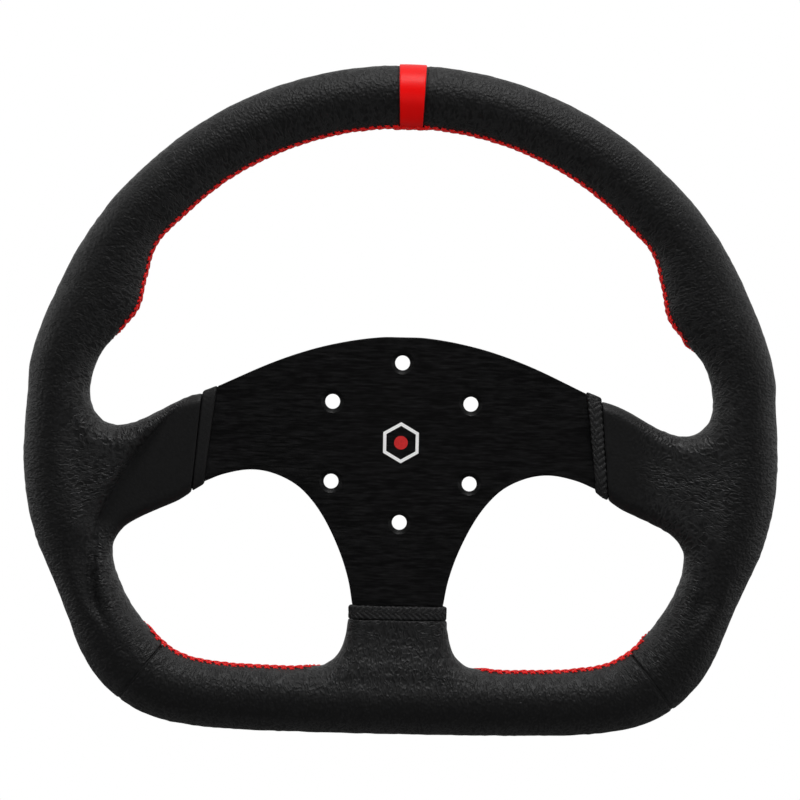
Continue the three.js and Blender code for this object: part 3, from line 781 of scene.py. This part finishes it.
def corner_line(side):
    along = (CORNER_OUT - CORNER_IN) / np.linalg.norm(CORNER_OUT - CORNER_IN)
    across = np.array([-along[1], along[0]])
    turn = np.array([side, 1])
    return lambda a: ((CORNER_IN + across * a) * turn, (CORNER_OUT + across * a) * turn)


beside_marker = MARKER_WIDTH / 2 + SEAM / 2
seam_folds = [
    seam_fold("seam_marker_left", lambda a: marker_line(MARKER_OFFSET - beside_marker + a), SEAM + 0.1),
    seam_fold("seam_marker_right", lambda a: marker_line(MARKER_OFFSET + beside_marker + a), SEAM + 0.1),
    seam_fold("seam_corner_left", corner_line(-1), CORNER_SEAM, sunk=0.25),
    seam_fold("seam_corner_right", corner_line(1), CORNER_SEAM, sunk=0.25),
]

# %% [markdown]
# ## Cuffs
# Where a sleeve ends on its spoke, a strip of leather is wrapped round the plate to hide the raw
# edge. The left one lies flat. The right and the bottom one were pulled tight, and are gathered
# into a rough braid.

# %% Cuffs on the spokes
CUFF_DEPTH, CUFF_THICK = 11.0, 3.2
PLAIT = 2.1  # length of one tuck in the braid
PLATE_SIDE_TOP, PLATE_SIDE_BOTTOM = np.array([80.95, 23.4]), np.array([86.0, -19.9])
BOTTOM_CUFF_TOP_Z, BOTTOM_CUFF_HALF = -71.7, 21.1
SIDE_CUFF_WIDTH, BOTTOM_CUFF_WIDTH = 5.6, 5.7
GIRTH = 110  # rough way round a cuff, on which the tucks are counted


def squared_oval(top, bottom, depth, inset, sides):
    """A flattened oval between two places, squarer than an ellipse."""
    middle, half = (top + bottom) / 2, np.linalg.norm(top - bottom) / 2 - inset
    across = (top - bottom) / np.linalg.norm(top - bottom)
    turn = np.linspace(0, 2 * math.pi, sides, endpoint=False)
    c, s = np.cos(turn), np.sin(turn)
    size = (np.abs(c)**4 + np.abs(s)**4)**-0.25  # a square with round corners
    reach = half * c * size
    deep = MID_Y + (depth / 2 - inset) * s * size
    return np.stack([middle[0] + across[0] * reach, deep, middle[1] + across[1] * reach], 1)


def cuff_object(name, edges_at, width, gathered, rise=0.0, sides=260):
    profile = band_profile(width, CUFF_THICK, 0.8, tongue=2.5)
    loops = []
    for across, sunk in profile:
        top, bottom = edges_at(across / width)
        loops.append(squared_oval(top, bottom, CUFF_DEPTH, sunk - rise * (sunk < 1), sides))
    obj = band_object(name, loops)
    points = np.concatenate(loops)
    u = np.tile(np.arange(sides) * (GIRTH / sides), len(loops))
    v = np.repeat([a for a, d in profile], sides)
    lane = np.where(v < width / 2, 1, -1)
    plait = 2 * np.abs(np.sin(math.pi * (u + lane * v * 0.9) / PLAIT)) - 1.2
    rough = plait + 0.5 * soft_noise(points, [1.1, 1.1, 1.1], 22)
    shown = np.repeat([d < 1.0 for a, d in profile], sides)
    points = points + normals_of(obj) * np.where(shown, gathered * rough, 0)[:, None]
    obj.data.vertices.foreach_set("co", (points * MM).astype(np.float32).ravel())
    add_attribute(obj, "gathered", np.full(len(points), 1.0 if gathered > 0.1 else 0.0))
    return obj


def side_edges(side):
    turn = np.array([side, 1])
    return lambda t: ((PLATE_SIDE_TOP + (CUFF_TOP - PLATE_SIDE_TOP) * t) * turn,
                      (PLATE_SIDE_BOTTOM + (CUFF_BOTTOM - PLATE_SIDE_BOTTOM) * t) * turn)


def bottom_edges(t):
    z = BOTTOM_CUFF_TOP_Z + (BOTTOM_CUFF_Z - BOTTOM_CUFF_TOP_Z) * t
    return np.array([BOTTOM_CUFF_HALF, z]), np.array([-BOTTOM_CUFF_HALF, z])


cuffs = {
    "cuff_left": cuff_object("cuff_wrap_left", side_edges(-1), SIDE_CUFF_WIDTH, gathered=0.04),
    "cuff_right": cuff_object("cuff_wrap_right", side_edges(1), SIDE_CUFF_WIDTH, gathered=0.34,
                              rise=0.35),
    "cuff_bottom": cuff_object("cuff_wrap_bottom", bottom_edges, BOTTOM_CUFF_WIDTH, gathered=0.3,
                               rise=0.2),
}

# %% Materials of the marker and the cuffs
def marker_material():
    material, tree, shader = new_material("red_leather", Specular_IOR_Level=0.2)
    place = object_coordinates(tree)
    pores = noise(tree, place, scale=1 / (0.6 * MM), detail=3)
    drift = noise(tree, place, scale=1 / (9 * MM), detail=2)
    bump(tree, shader, pores, 0.05)
    two_tone(tree, shader, drift, (0.80, 0.0008, 0.0006), (0.92, 0.0012, 0.0008))
    tree.links.new(spread(tree, pores, 0.36, 0.52, 0.3, 0.7), shader.inputs["Roughness"])
    return material


def cuff_material():
    material, tree, shader = new_material("cuff_leather", Specular_IOR_Level=0.4)
    place = object_coordinates(tree)
    gathered = attribute(tree, "gathered")
    grain = noise(tree, place, scale=1 / (0.45 * MM), detail=3)
    creases = noise(tree, place, scale=1 / (1.3 * MM), detail=2, distortion=1.4)
    rough_part = arithmetic(tree, "MULTIPLY", creases, gathered)
    height = arithmetic(tree, "ADD", arithmetic(tree, "MULTIPLY", grain, 0.25), rough_part)
    bump(tree, shader, height, 0.35)
    # Painted shade: the colour follows the height, darker in the low parts of the grain and in the creases
    # of the gathers.
    two_tone(tree, shader, height, (0.0035, 0.0035, 0.0037), (0.018, 0.018, 0.0185))
    tree.links.new(spread(tree, height, 0.7, 0.5), shader.inputs["Roughness"])
    return material


marker.data.materials.append(marker_material())
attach(marker, "root")
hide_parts("centre_marker")
cuff_leather = cuff_material()
for fold in seam_folds:
    fold.data.materials.append(cuff_leather)
    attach(fold, "root")
for name, cuff in cuffs.items():
    cuff.data.materials.append(cuff_leather)
    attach(cuff, "root")
    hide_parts(name)

# %% [markdown]
# ## The spoke plate
# The plate is cut from 4 mm alloy and anodised black. Its edges are broken by a small round, and
# the six bolt holes are countersunk from the front. We draw the outline, lay loops of points down
# its edge and into every hole, and fill the flat front and back between them.

# %% Outline of the plate
PLATE_FRONT = -4.0
plate_top = spline([[0, 46.2], [10, 46], [24, 44], [40, 40.1], [58, 33.6], [80.4, 23.3]])
plate_low = spline([[85.7, -18.7], [77, -15.2], [66, -13.1], [56, -14.4], [46, -19], [38.5, -26],
                    [32, -35.5], [26, -48], [22, -60], [19.9, -71.2]])
side_arm = [[81.2, 22.3], [87.4, 19.7], [97, 11.6], [112, 3], [124, 0], [155.6, 0], [154, -28],
            [124, -29], [110, -27], [98, -22.5], [91, -21.9], [86.2, -19.4]]
bottom_arm = [[19.4, -72.2], [19.4, -76.5], [16.4, -80], [16.4, -118.6]]
plate_right = np.vstack([plate_top, side_arm, plate_low, bottom_arm])
outline = np.vstack([plate_right, plate_right[:0:-1] * LEFT])
before, after = outline - np.roll(outline, 1, 0), np.roll(outline, -1, 0) - outline
heading = before / np.linalg.norm(before, axis=1)[:, None] + after / np.linalg.norm(after, axis=1)[:, None]
inward = np.stack([heading[:, 1], -heading[:, 0]], 1) / np.linalg.norm(heading, axis=1)[:, None]

# %% Loops down the edge and the holes
EDGE_ROUND = 0.35
BOLT_CIRCLE, BOLT_HOLE, SINK = 35.0, 3.25, 5.0
broken_edge = [(1.0, 0), (EDGE_ROUND, 0), (0.1, 0.1), (0, EDGE_ROUND)]  # in from the edge, down


def circle(centre, radius, steps):
    angle = np.linspace(0, 2 * math.pi, steps, endpoint=False)
    return np.array(centre) + radius * np.stack([np.cos(angle), np.sin(angle)], 1)


def edge_loops():
    front = [(outline + inward * i, PLATE_FRONT + d) for i, d in broken_edge]
    back = [(outline + inward * i, -d) for i, d in broken_edge[::-1]]
    return front + back


def hole_loops(centre, profile, steps):
    return [(circle(centre, radius, steps), y) for radius, y in profile]


sink_depth = SINK - BOLT_HOLE
bolt_profile = [(SINK + 1, PLATE_FRONT), (SINK + 0.12, PLATE_FRONT), (SINK, PLATE_FRONT + 0.1),
                (BOLT_HOLE + 0.08, PLATE_FRONT + sink_depth - 0.05),
                (BOLT_HOLE, PLATE_FRONT + sink_depth + 0.1),
                (BOLT_HOLE, -0.35), (BOLT_HOLE + 0.1, -0.1), (BOLT_HOLE + 0.35, 0), (BOLT_HOLE + 1, 0)]
RIVET_HOLE = 2.8
HOLE_SIDES, RIVET_SIDES = 96, 24
rivet_profile = [(RIVET_HOLE, PLATE_FRONT), (RIVET_HOLE, 0)]
holes = [hole_loops(on_circle(BOLT_CIRCLE, 60 * k), bolt_profile, HOLE_SIDES)
         for k in range(6)]
rivet_names = [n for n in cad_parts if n.startswith("rivet")]
for name in rivet_names:
    low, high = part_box(name)
    holes.append(hole_loops([(low.x + high.x) / 2 / MM, (low.z + high.z) / 2 / MM], rivet_profile,
                            RIVET_SIDES))


def plate_object():
    points, polygons, front, back = [], [], [], []
    for loops in [edge_loops()] + holes:
        start = len(points)
        size = len(loops[0][0])
        for line, y in loops:
            points += [(x, y, z) for x, z in line]
        polygons += quads_between(len(loops), size, start)
        front.append(range(start, start + size))
        back.append(range(len(points) - size, len(points)))
    for rims in (front, back):
        order = [i for rim in rims for i in rim]
        lines = [[Vector((points[i][0], points[i][2], 0)) for i in rim] for rim in rims]
        polygons += [[order[i] for i in triangle] for triangle in tessellate_polygon(lines)]
    obj = mesh_object("plate", points, polygons)
    print("plate, open edges:", face_outwards(obj), "of", len(obj.data.edges))
    for face in obj.data.polygons:
        face.use_smooth = abs(face.normal.y) < 0.999  # front and back stay dead flat
    return obj


plate = plate_object()

# %% [markdown]
# Brushing leaves fine lines from side to side. Noise that is long in X and very short in Z makes
# them: a wide set for the clouded look and a narrow one for single scratches.

# %% Brushed black metal
def plate_material():
    material, tree, shader = new_material("brushed_black", Specular_IOR_Level=0.2)
    place = object_coordinates(tree)
    wide = noise(tree, scaled(tree, place, (7 * MM, 4 * MM, 0.8 * MM), (3.7, 1.4, 5.3)), detail=3)
    thin = noise(tree, scaled(tree, place, (3 * MM, 4 * MM, 0.3 * MM), (8.2, 2.6, 1.7)), detail=3)
    clouds, scratches = spread(tree, wide, 0, 1, 0.38, 0.72), spread(tree, thin, 0.3, 1, 0.3, 0.7)
    lines = arithmetic(tree, "MULTIPLY", clouds, scratches)
    two_tone(tree, shader, lines, (0.0012, 0.0012, 0.0013), (0.011, 0.011, 0.0115))
    tree.links.new(spread(tree, lines, 0.5, 0.36), shader.inputs["Roughness"])
    bump(tree, shader, lines, 0.03)
    return material


plate.data.materials.append(plate_material())
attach(plate, "root")
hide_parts("spoke_plate")

# %% [markdown]
# ## Lacing
# The panels are drawn together with a cross stitch of red thread along the inner edge of the rim.
# At the spokes the seam moves round to the back, and a seam runs down behind each sleeve. One
# stitch is modelled once: two strands that cross over the seam. Geometry Nodes then walks along
# each seam and sets a stitch at every step.

# %% One cross stitch
PITCH, REACH, THREAD = 3.6, 2.1, 0.48
STRAND_RINGS, STRAND_SIDES = 8, 6


def strand(points, radius, sides=STRAND_SIDES):
    """Points and quads of a thread along a short line."""
    p = np.array(points, float)
    ahead = np.gradient(p, axis=0)
    ahead /= np.linalg.norm(ahead, axis=1)[:, None]
    side = np.cross(ahead, [0, 0, 1.0])
    side /= np.linalg.norm(side, axis=1)[:, None]
    up = np.cross(side, ahead)
    turn = np.linspace(0, 2 * math.pi, sides, endpoint=False)
    rings = [q + radius * (np.cos(a) * s * 1.1 + np.sin(a) * u * 0.85)
             for q, s, u in zip(p, side, up) for a in turn]
    quads = quads_between(len(p), sides)
    quads += [list(range(sides))[::-1], list(range((len(p) - 1) * sides, len(p) * sides))]
    return rings, quads


def stitch_object():
    t = np.linspace(-1, 1, STRAND_RINGS)
    rise = 0.6 * np.sqrt(np.clip(1 - t**4, 0, 1)) - 0.3
    under = np.stack([t * PITCH * 0.8, -t * REACH, rise - 0.1], 1)
    over = np.stack([t * PITCH * 0.8, t * REACH, rise + 0.2 * (1 - t**2)], 1)
    points, polygons = [], []
    for line in (under, over):
        rings, quads = strand(line, THREAD)
        polygons += [[i + len(points) for i in q] for q in quads]
        points += rings
    obj = mesh_object("one_stitch", points, polygons)
    uv = obj.data.uv_layers.new(name="UVMap")
    ring = np.array([l.vertex_index for l in obj.data.loops])
    along, around = ring // STRAND_SIDES / STRAND_RINGS, ring % STRAND_SIDES / STRAND_SIDES
    uv.data.foreach_set("uv", np.stack([along, around], 1).astype(np.float32).ravel())
    return obj


one_stitch = stitch_object()

# %% [markdown]
# Thread is twisted from plies, so its surface shows slanted ridges. A wave across the strand's
# own coordinates gives the twist, and a little noise breaks up the red. The red is also painted
# darker in the grooves between the plies, as shade, and lighter on their ridges.

# %% Thread material
def thread_material():
    material, tree, shader = new_material("red_thread", Specular_IOR_Level=0.3, Sheen_Weight=0.2)
    uv = add_node(tree, "ShaderNodeUVMap", uv_map="UVMap").outputs["UV"]
    slanted = scaled(tree, uv, (1 / 7, 1 / 3, 1))
    ply = add_node(tree, "ShaderNodeTexWave", {"Vector": slanted, "Scale": 0.5, "Distortion": 0.6},
                   wave_type="BANDS", bands_direction="DIAGONAL").outputs["Fac"]
    fuzz = noise(tree, object_coordinates(tree), scale=1 / (0.25 * MM), detail=2)
    height = arithmetic(tree, "ADD", ply, arithmetic(tree, "MULTIPLY", fuzz, 0.4))
    bump(tree, shader, height, 0.12)
    # Partly painted shade: the red is darker in the grooves between the plies and lighter on the ridges; the
    # fuzz noise adds random tone.
    two_tone(tree, shader, spread(tree, height, 0, 1, 0.1, 1.2), (0.72, 0.001, 0.001), (0.97, 0.003, 0.002))
    shader.inputs["Roughness"].default_value = 0.62
    return material


thread = thread_material()

# %% [markdown]
# The node tree: a guide line becomes a curve, the curve is divided into steps of one stitch
# length, and at each step the stitch is set up along the line and away from the leather. The
# inputs have names, so the same tree serves every seam.

# %% A node tree that sews
def sewing_tree():
    tree = bpy.data.node_groups.new("Sew", "GeometryNodeTree")
    kinds = {"Geometry": "Geometry", "Stitch": "Object", "Pitch": "Float", "Unevenness": "Float",
             "Seed": "Int", "Material": "Material"}
    for name, kind in kinds.items():
        tree.interface.new_socket(name, in_out="INPUT", socket_type="NodeSocket" + kind)
    tree.interface.new_socket("Geometry", in_out="OUTPUT", socket_type="NodeSocketGeometry")
    given = add_node(tree, "NodeGroupInput").outputs
    curve = add_node(tree, "GeometryNodeMeshToCurve", {"Mesh": given["Geometry"]}).outputs["Curve"]
    steps = add_node(tree, "GeometryNodeResampleCurve", {"Curve": curve, "Length": given["Pitch"]},
                     mode="LENGTH").outputs["Curve"]
    away = add_node(tree, "GeometryNodeInputNamedAttribute", {"Name": "away"}, data_type="FLOAT_VECTOR")
    ahead = add_node(tree, "GeometryNodeInputTangent").outputs["Tangent"]
    turned = add_node(tree, "FunctionNodeAxesToRotation", {0: ahead, 1: away.outputs["Attribute"]},
                      primary_axis="X", secondary_axis="Z").outputs["Rotation"]
    low = arithmetic(tree, "SUBTRACT", 1.0, given["Unevenness"])
    high = arithmetic(tree, "ADD", 1.0, given["Unevenness"])
    size = add_node(tree, "FunctionNodeRandomValue", {2: low, 3: high, "Seed": given["Seed"]},
                    data_type="FLOAT")
    stitch = add_node(tree, "GeometryNodeObjectInfo", {"Object": given["Stitch"]}).outputs["Geometry"]
    sewn = add_node(tree, "GeometryNodeInstanceOnPoints", {"Points": steps, "Instance": stitch,
                    "Rotation": turned, "Scale": size.outputs[1]}).outputs["Instances"]
    real = add_node(tree, "GeometryNodeRealizeInstances", {"Geometry": sewn}).outputs["Geometry"]
    shown = add_node(tree, "GeometryNodeSetMaterial", {"Geometry": real, "Material": given["Material"]})
    add_node(tree, "NodeGroupOutput", {"Geometry": shown.outputs["Geometry"]})
    return tree


sew = sewing_tree()

# %% [markdown]
# The guide lines have to lie on the leather. We take a place on the rim's oval, at an angle round
# it from the inner edge, and shoot a ray back at the leather to find where the surface really is.

# %% Seams on the leather
all_points = np.concatenate([p for p, _ in covers])
shift = np.cumsum([0] + [len(p) for p, _ in covers[:-1]])
all_faces = [[i + int(s) for i in f] for (_, fs), s in zip(covers, shift) for f in fs]
surface = BVHTree.FromPolygons(all_points.tolist(), all_faces)


def rim_at(station, degrees):
    """A place on the rim's oval and its way out. 0 degrees is the inner edge, 90 the back."""
    place = station * STEPS
    i, t = int(math.floor(place)), place % 1
    n = len(rim_middle)
    outer = outer_edge[i % n] * (1 - t) + outer_edge[(i + 1) % n] * t
    inner = inner_edge[i % n] * (1 - t) + inner_edge[(i + 1) % n] * t
    half = np.linalg.norm(outer - inner) / 2
    outward = (outer - inner) / (2 * half)
    c, s = math.cos(math.radians(degrees)), math.sin(math.radians(degrees))
    flat_place = (outer + inner) / 2 - outward * half * c
    place = Vector((flat_place[0], MID_Y + RIM_HALF_DEPTH * s, flat_place[1]))
    away = Vector((-outward[0] * c / half, s / RIM_HALF_DEPTH, -outward[1] * c / half)).normalized()
    return place, away


def onto_leather(place, away):
    hit, normal, _, _ = surface.ray_cast(place + away * 25, -away, 40)
    return (hit, normal) if hit else (place, away)


def rim_seam(start, end, angle_at, rise=0.0):
    steps = max(8, int(abs(end - start) * 12))
    track = []
    for i in range(steps + 1):
        station = start + (end - start) * i / steps
        place, away = rim_at(station, angle_at(station))
        hit, normal = onto_leather(place, away)
        track.append((hit + away * rise, (normal + away * 2).normalized()))
    return track


# %% [markdown]
# These are all the seams: along the inner edge from the marker to each spoke, round behind the
# spoke, on along the lower opening, across the back of the bottom spoke, and down behind each
# sleeve. The left half is mirrored.

# %% Where the seams run
LACE_ABOVE, LACE_BELOW, LACE_BOTTOM = 8.05, 17.1, 22.8
FRONT_ANGLE, START_ANGLE, BACK_ANGLE = -9, 24, 62  # degrees round the rim from its inner edge
TURN_FRONT, TURN_BACK, TURN_BOTTOM = 0.3, 1.0, 0.5  # stations that a turn takes
LAST = 24


def front_angle(station):
    """Just in front of the inner edge, and round to the back where a spoke is near."""
    if station < LACE_ABOVE + 1:
        left = LACE_ABOVE - station
    else:
        left = min(station - LACE_BELOW, LACE_BOTTOM - station)
    return FRONT_ANGLE + (START_ANGLE - FRONT_ANGLE) * float(smoothstep(TURN_FRONT, 0, left))


def rear_angle(station):
    gone = min(station - LACE_ABOVE, LACE_BELOW - station)
    return START_ANGLE + (BACK_ANGLE - START_ANGLE) * float(smoothstep(0, TURN_BACK, gone))


def rear_bottom_angle(station):
    gone = LAST - LACE_BOTTOM - abs(station - LAST)
    return START_ANGLE + (BACK_ANGLE - START_ANGLE) * float(smoothstep(0, TURN_BOTTOM, gone))


def behind_sleeve(start, end):
    """Straight down the back of a sleeve, from its cuff to the seam behind the rim."""
    track = []
    for t in np.linspace(0, 1, 16):
        x, z = np.array(start) * (1 - t) + np.array(end) * t
        track.append(onto_leather(Vector((x, 10, z)), Vector((0, 1, 0))))
    return track


def mirror(track):
    """The same seam on the left, laid afresh on the leather, which is shaped differently there."""
    flip = Vector((-1, 1, 1))
    return [onto_leather(p * flip, n * flip) for p, n in track]


def station_of(arc):
    return math.degrees(arc / OUTER_RADIUS) / STATION_DEGREES


marker_edges = [station_of(MARKER_OFFSET + s * MARKER_WIDTH / 2) for s in (-1, 1)]
seams = {"marker": rim_seam(*marker_edges, front_angle, rise=MARKER_RISE)}
for side, begin in (("right", marker_edges[1]), ("left", -marker_edges[0])):
    runs = {
        "upper": rim_seam(begin, LACE_ABOVE, front_angle),
        "rear": rim_seam(LACE_ABOVE, LACE_BELOW, rear_angle),
        "lower": rim_seam(LACE_BELOW, LACE_BOTTOM, front_angle),
        "sleeve": behind_sleeve([91, -1], [137, -14]),
    }
    for name, track in runs.items():
        seams[f"{name}_{side}"] = track if side == "right" else mirror(track)
seams["rear_bottom"] = rim_seam(LACE_BOTTOM, 2 * LAST - LACE_BOTTOM, rear_bottom_angle)
seams["sleeve_bottom"] = behind_sleeve([0, -80], [0, -104])

# %% Sew every seam
def sew_along(name, track):
    guide = mesh_object("guide_" + name, [p for p, _ in track], [])
    guide.data.edges.add(len(track) - 1)
    ends = np.stack([np.arange(len(track) - 1), np.arange(1, len(track))], 1)
    guide.data.edges.foreach_set("vertices", ends.ravel())
    add_attribute(guide, "away", np.array([n for _, n in track]))
    modifier = guide.modifiers.new("Sew", "NODES")
    modifier.node_group = sew
    inputs = {s.name: s.identifier for s in sew.interface.items_tree if s.in_out == "INPUT"}
    values = {"Stitch": one_stitch, "Pitch": PITCH * MM, "Unevenness": 0.06, "Seed": 7, "Material": thread}
    for key, value in values.items():
        modifier[inputs[key]] = value
    return plain(guide, "lacing_" + name)


for name, track in seams.items():
    lacing = sew_along(name, track)
    lacing.data.shade_smooth()
    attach(lacing, "root")
    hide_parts("stitch_" + name)
    print(lacing.name, len(lacing.data.polygons), "faces")
bpy.data.objects.remove(one_stitch)

# %% [markdown]
# ## What stays from the CAD
# The steel ring and the rivets lie under the leather, and the badge is printed on the plate.
# Their CAD meshes stay, and get finishes of their own: rolled steel, bright rivets, and ink that
# is a little uneven. The foam gets its open cells here too.

# %% Foam, ring, rivets and badge
def metal_material(name, dark, light, roughness):
    material, tree, shader = new_material(name, Metallic=1.0)
    place = object_coordinates(tree)
    wide = noise(tree, place, scale=1 / (4 * MM), detail=4)
    thin = noise(tree, place, scale=1 / (0.5 * MM), detail=3)
    marks = arithmetic(tree, "MULTIPLY", spread(tree, wide, 0, 1, 0.35, 0.68), thin)
    two_tone(tree, shader, spread(tree, marks, 0, 1, 0.05, 0.5), dark, light)
    low, high = roughness
    tree.links.new(spread(tree, marks, high, low, 0, 0.6), shader.inputs["Roughness"])
    bump(tree, shader, marks, 0.02)
    return material


def mottled_material(name, dark, light, cell_mm, depth_mm, roughness):
    material, tree, shader = new_material(name)
    place = object_coordinates(tree)
    cells = add_node(tree, "ShaderNodeTexVoronoi", {"Vector": place, "Scale": 1 / (cell_mm * MM)})
    height = arithmetic(tree, "ADD", cells.outputs["Distance"], noise(tree, place, scale=1 / (cell_mm * MM)))
    bump(tree, shader, height, depth_mm)
    two_tone(tree, shader, spread(tree, height, 0, 1, 0.2, 1.3), dark, light)
    tree.links.new(spread(tree, height, *roughness, 0.2, 1.3), shader.inputs["Roughness"])
    return material


foam_material = mottled_material("foam", (0.004, 0.004, 0.004), (0.02, 0.02, 0.02), 0.8, 0.4, (0.95, 0.8))
foam.data.materials.append(foam_material)
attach(foam, "root")
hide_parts("foam_core")
ink = 0.5, 0.02, (0.55, 0.4)  # cell size and depth in millimetres, and roughness
finishes = {
    "rim_ring": metal_material("rolled_steel", (0.10, 0.10, 0.11), (0.22, 0.22, 0.23), (0.4, 0.6)),
    "badge_ring": mottled_material("white_ink", (0.84, 0.84, 0.84), (0.95, 0.95, 0.94), *ink),
    "badge_dot": mottled_material("red_ink", (0.42, 0.006, 0.008), (0.62, 0.012, 0.012), *ink),
}
bright = metal_material("rivet_metal", (0.35, 0.35, 0.36), (0.55, 0.55, 0.56), (0.3, 0.5))
for name in rivet_names:
    finishes[name] = bright
for name, material in finishes.items():
    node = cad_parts[name]
    node.data.materials.clear()
    node.data.materials.append(material)

# %% [markdown]
# ## Floor, light and camera
# Black leather is drawn by what it reflects. The studio is dark in front of the wheel and grows
# brighter towards the sides and behind, as in a light tent, so every place that turns away from
# the camera gets a soft lighter edge and the face of the rim stays deep. A box at each side and
# one above pick out the grain. A large one in front fills in the colours; it is hidden from
# reflections, as a polariser would do in a real studio.

# %% Floor
FLOOR_Z, FLOOR_RADIUS, FLOOR_SIDES = -0.55, 3.0, 96
floor_mesh = bpy.data.meshes.new("floor")
rim_points = circle([0, 0], FLOOR_RADIUS, FLOOR_SIDES)
floor_mesh.from_pydata([(x, y, FLOOR_Z) for x, y in rim_points], [], [list(range(FLOOR_SIDES))])
floor = bpy.data.objects.new("floor", floor_mesh)
bpy.context.scene.collection.objects.link(floor)
material, tree, shader = new_material("pale_floor", Roughness=0.8, Base_Color=(0.8, 0.8, 0.8, 1))
from_middle = add_node(tree, "ShaderNodeVectorMath", {0: object_coordinates(tree)}, operation="LENGTH")
fade = spread(tree, from_middle.outputs["Value"], 0, 1, 0.7, 1.9)
glow = add_node(tree, "ShaderNodeEmission", {"Color": (1, 1, 1, 1), "Strength": 1.0})
seen_directly = add_node(tree, "ShaderNodeLightPath").outputs["Is Camera Ray"]
pale = add_node(tree, "ShaderNodeMixShader", {0: fade, 1: shader.outputs[0], 2: glow.outputs[0]})
dim = add_node(tree, "ShaderNodeBsdfDiffuse", {"Color": (0.2, 0.2, 0.2, 1)})
blend = add_node(tree, "ShaderNodeMixShader", {0: seen_directly, 1: dim.outputs[0], 2: pale.outputs[0]})
tree.links.new(blend.outputs[0], tree.nodes["Material Output"].inputs["Surface"])
floor_mesh.materials.append(material)
floor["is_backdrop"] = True

# %% Lights
def soft_box(name, place, aim, width, height, watts):
    data = bpy.data.lights.new(name, "AREA")
    data.shape, data.size, data.size_y, data.energy = "RECTANGLE", width, height, watts
    box = bpy.data.objects.new(name, data)
    box.location = place
    box.rotation_euler = (Vector(aim) - Vector(place)).to_track_quat("-Z", "Y").to_euler()
    bpy.context.scene.collection.objects.link(box)
    return box


soft_box("light_left", (-1.3, -0.05, 0.3), (0, 0, 0), 0.35, 0.9, 3)
soft_box("light_right", (1.3, -0.15, 0.1), (0, 0, 0), 0.35, 0.9, 2.5)
soft_box("light_top", (0.1, -0.5, 1.3), (0, 0, 0), 0.5, 0.4, 12)
soft_box("light_front", (0, -2.0, -0.1), (0, 0, 0), 1.5, 1.0, 20).visible_glossy = False

world = bpy.data.worlds.new("backdrop")
bpy.context.scene.world = world
world.use_nodes = True
tree = world.node_tree
seen_directly = add_node(tree, "ShaderNodeLightPath").outputs["Is Camera Ray"]
way = add_node(tree, "ShaderNodeTexCoord").outputs["Generated"]
behind = spread(tree, add_node(tree, "ShaderNodeSeparateXYZ", {0: way}).outputs["Y"], 0.003, 0.8, -0.2, 0.4)
background = tree.nodes["Background"]
background.inputs["Color"].default_value = (1, 1, 1, 1)
tree.links.new(arithmetic(tree, "MAXIMUM", seen_directly, behind), background.inputs["Strength"])

# %% [markdown]
# The camera looks straight at the wheel through a long lens. It is rolled by about one degree, so
# that the wheel appears to hang slightly askew. Camera, lights and floor are placed in metres.

# %% Camera
DISTANCE, FIELD = 1.5, 0.3513  # metres away, and metres from edge to edge of the view
ASKEW = 1.196
data = bpy.data.cameras.new("camera")
SENSOR = 36  # millimetres
data.sensor_width = SENSOR
data.lens = SENSOR * DISTANCE / FIELD
camera = bpy.data.objects.new("camera", data)
camera.location = (-0.0008, -DISTANCE, 0.0187)
camera.rotation_euler = (math.pi / 2, math.radians(-ASKEW), 0)
bpy.context.scene.collection.objects.link(camera)
bpy.context.scene.camera = camera
bpy.context.scene.view_settings.view_transform = "Standard"

# %% Measure and finish
low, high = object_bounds()
print("visual box, mm:", [round(1000 * (b - a), 1) for a, b in zip(low, high)])
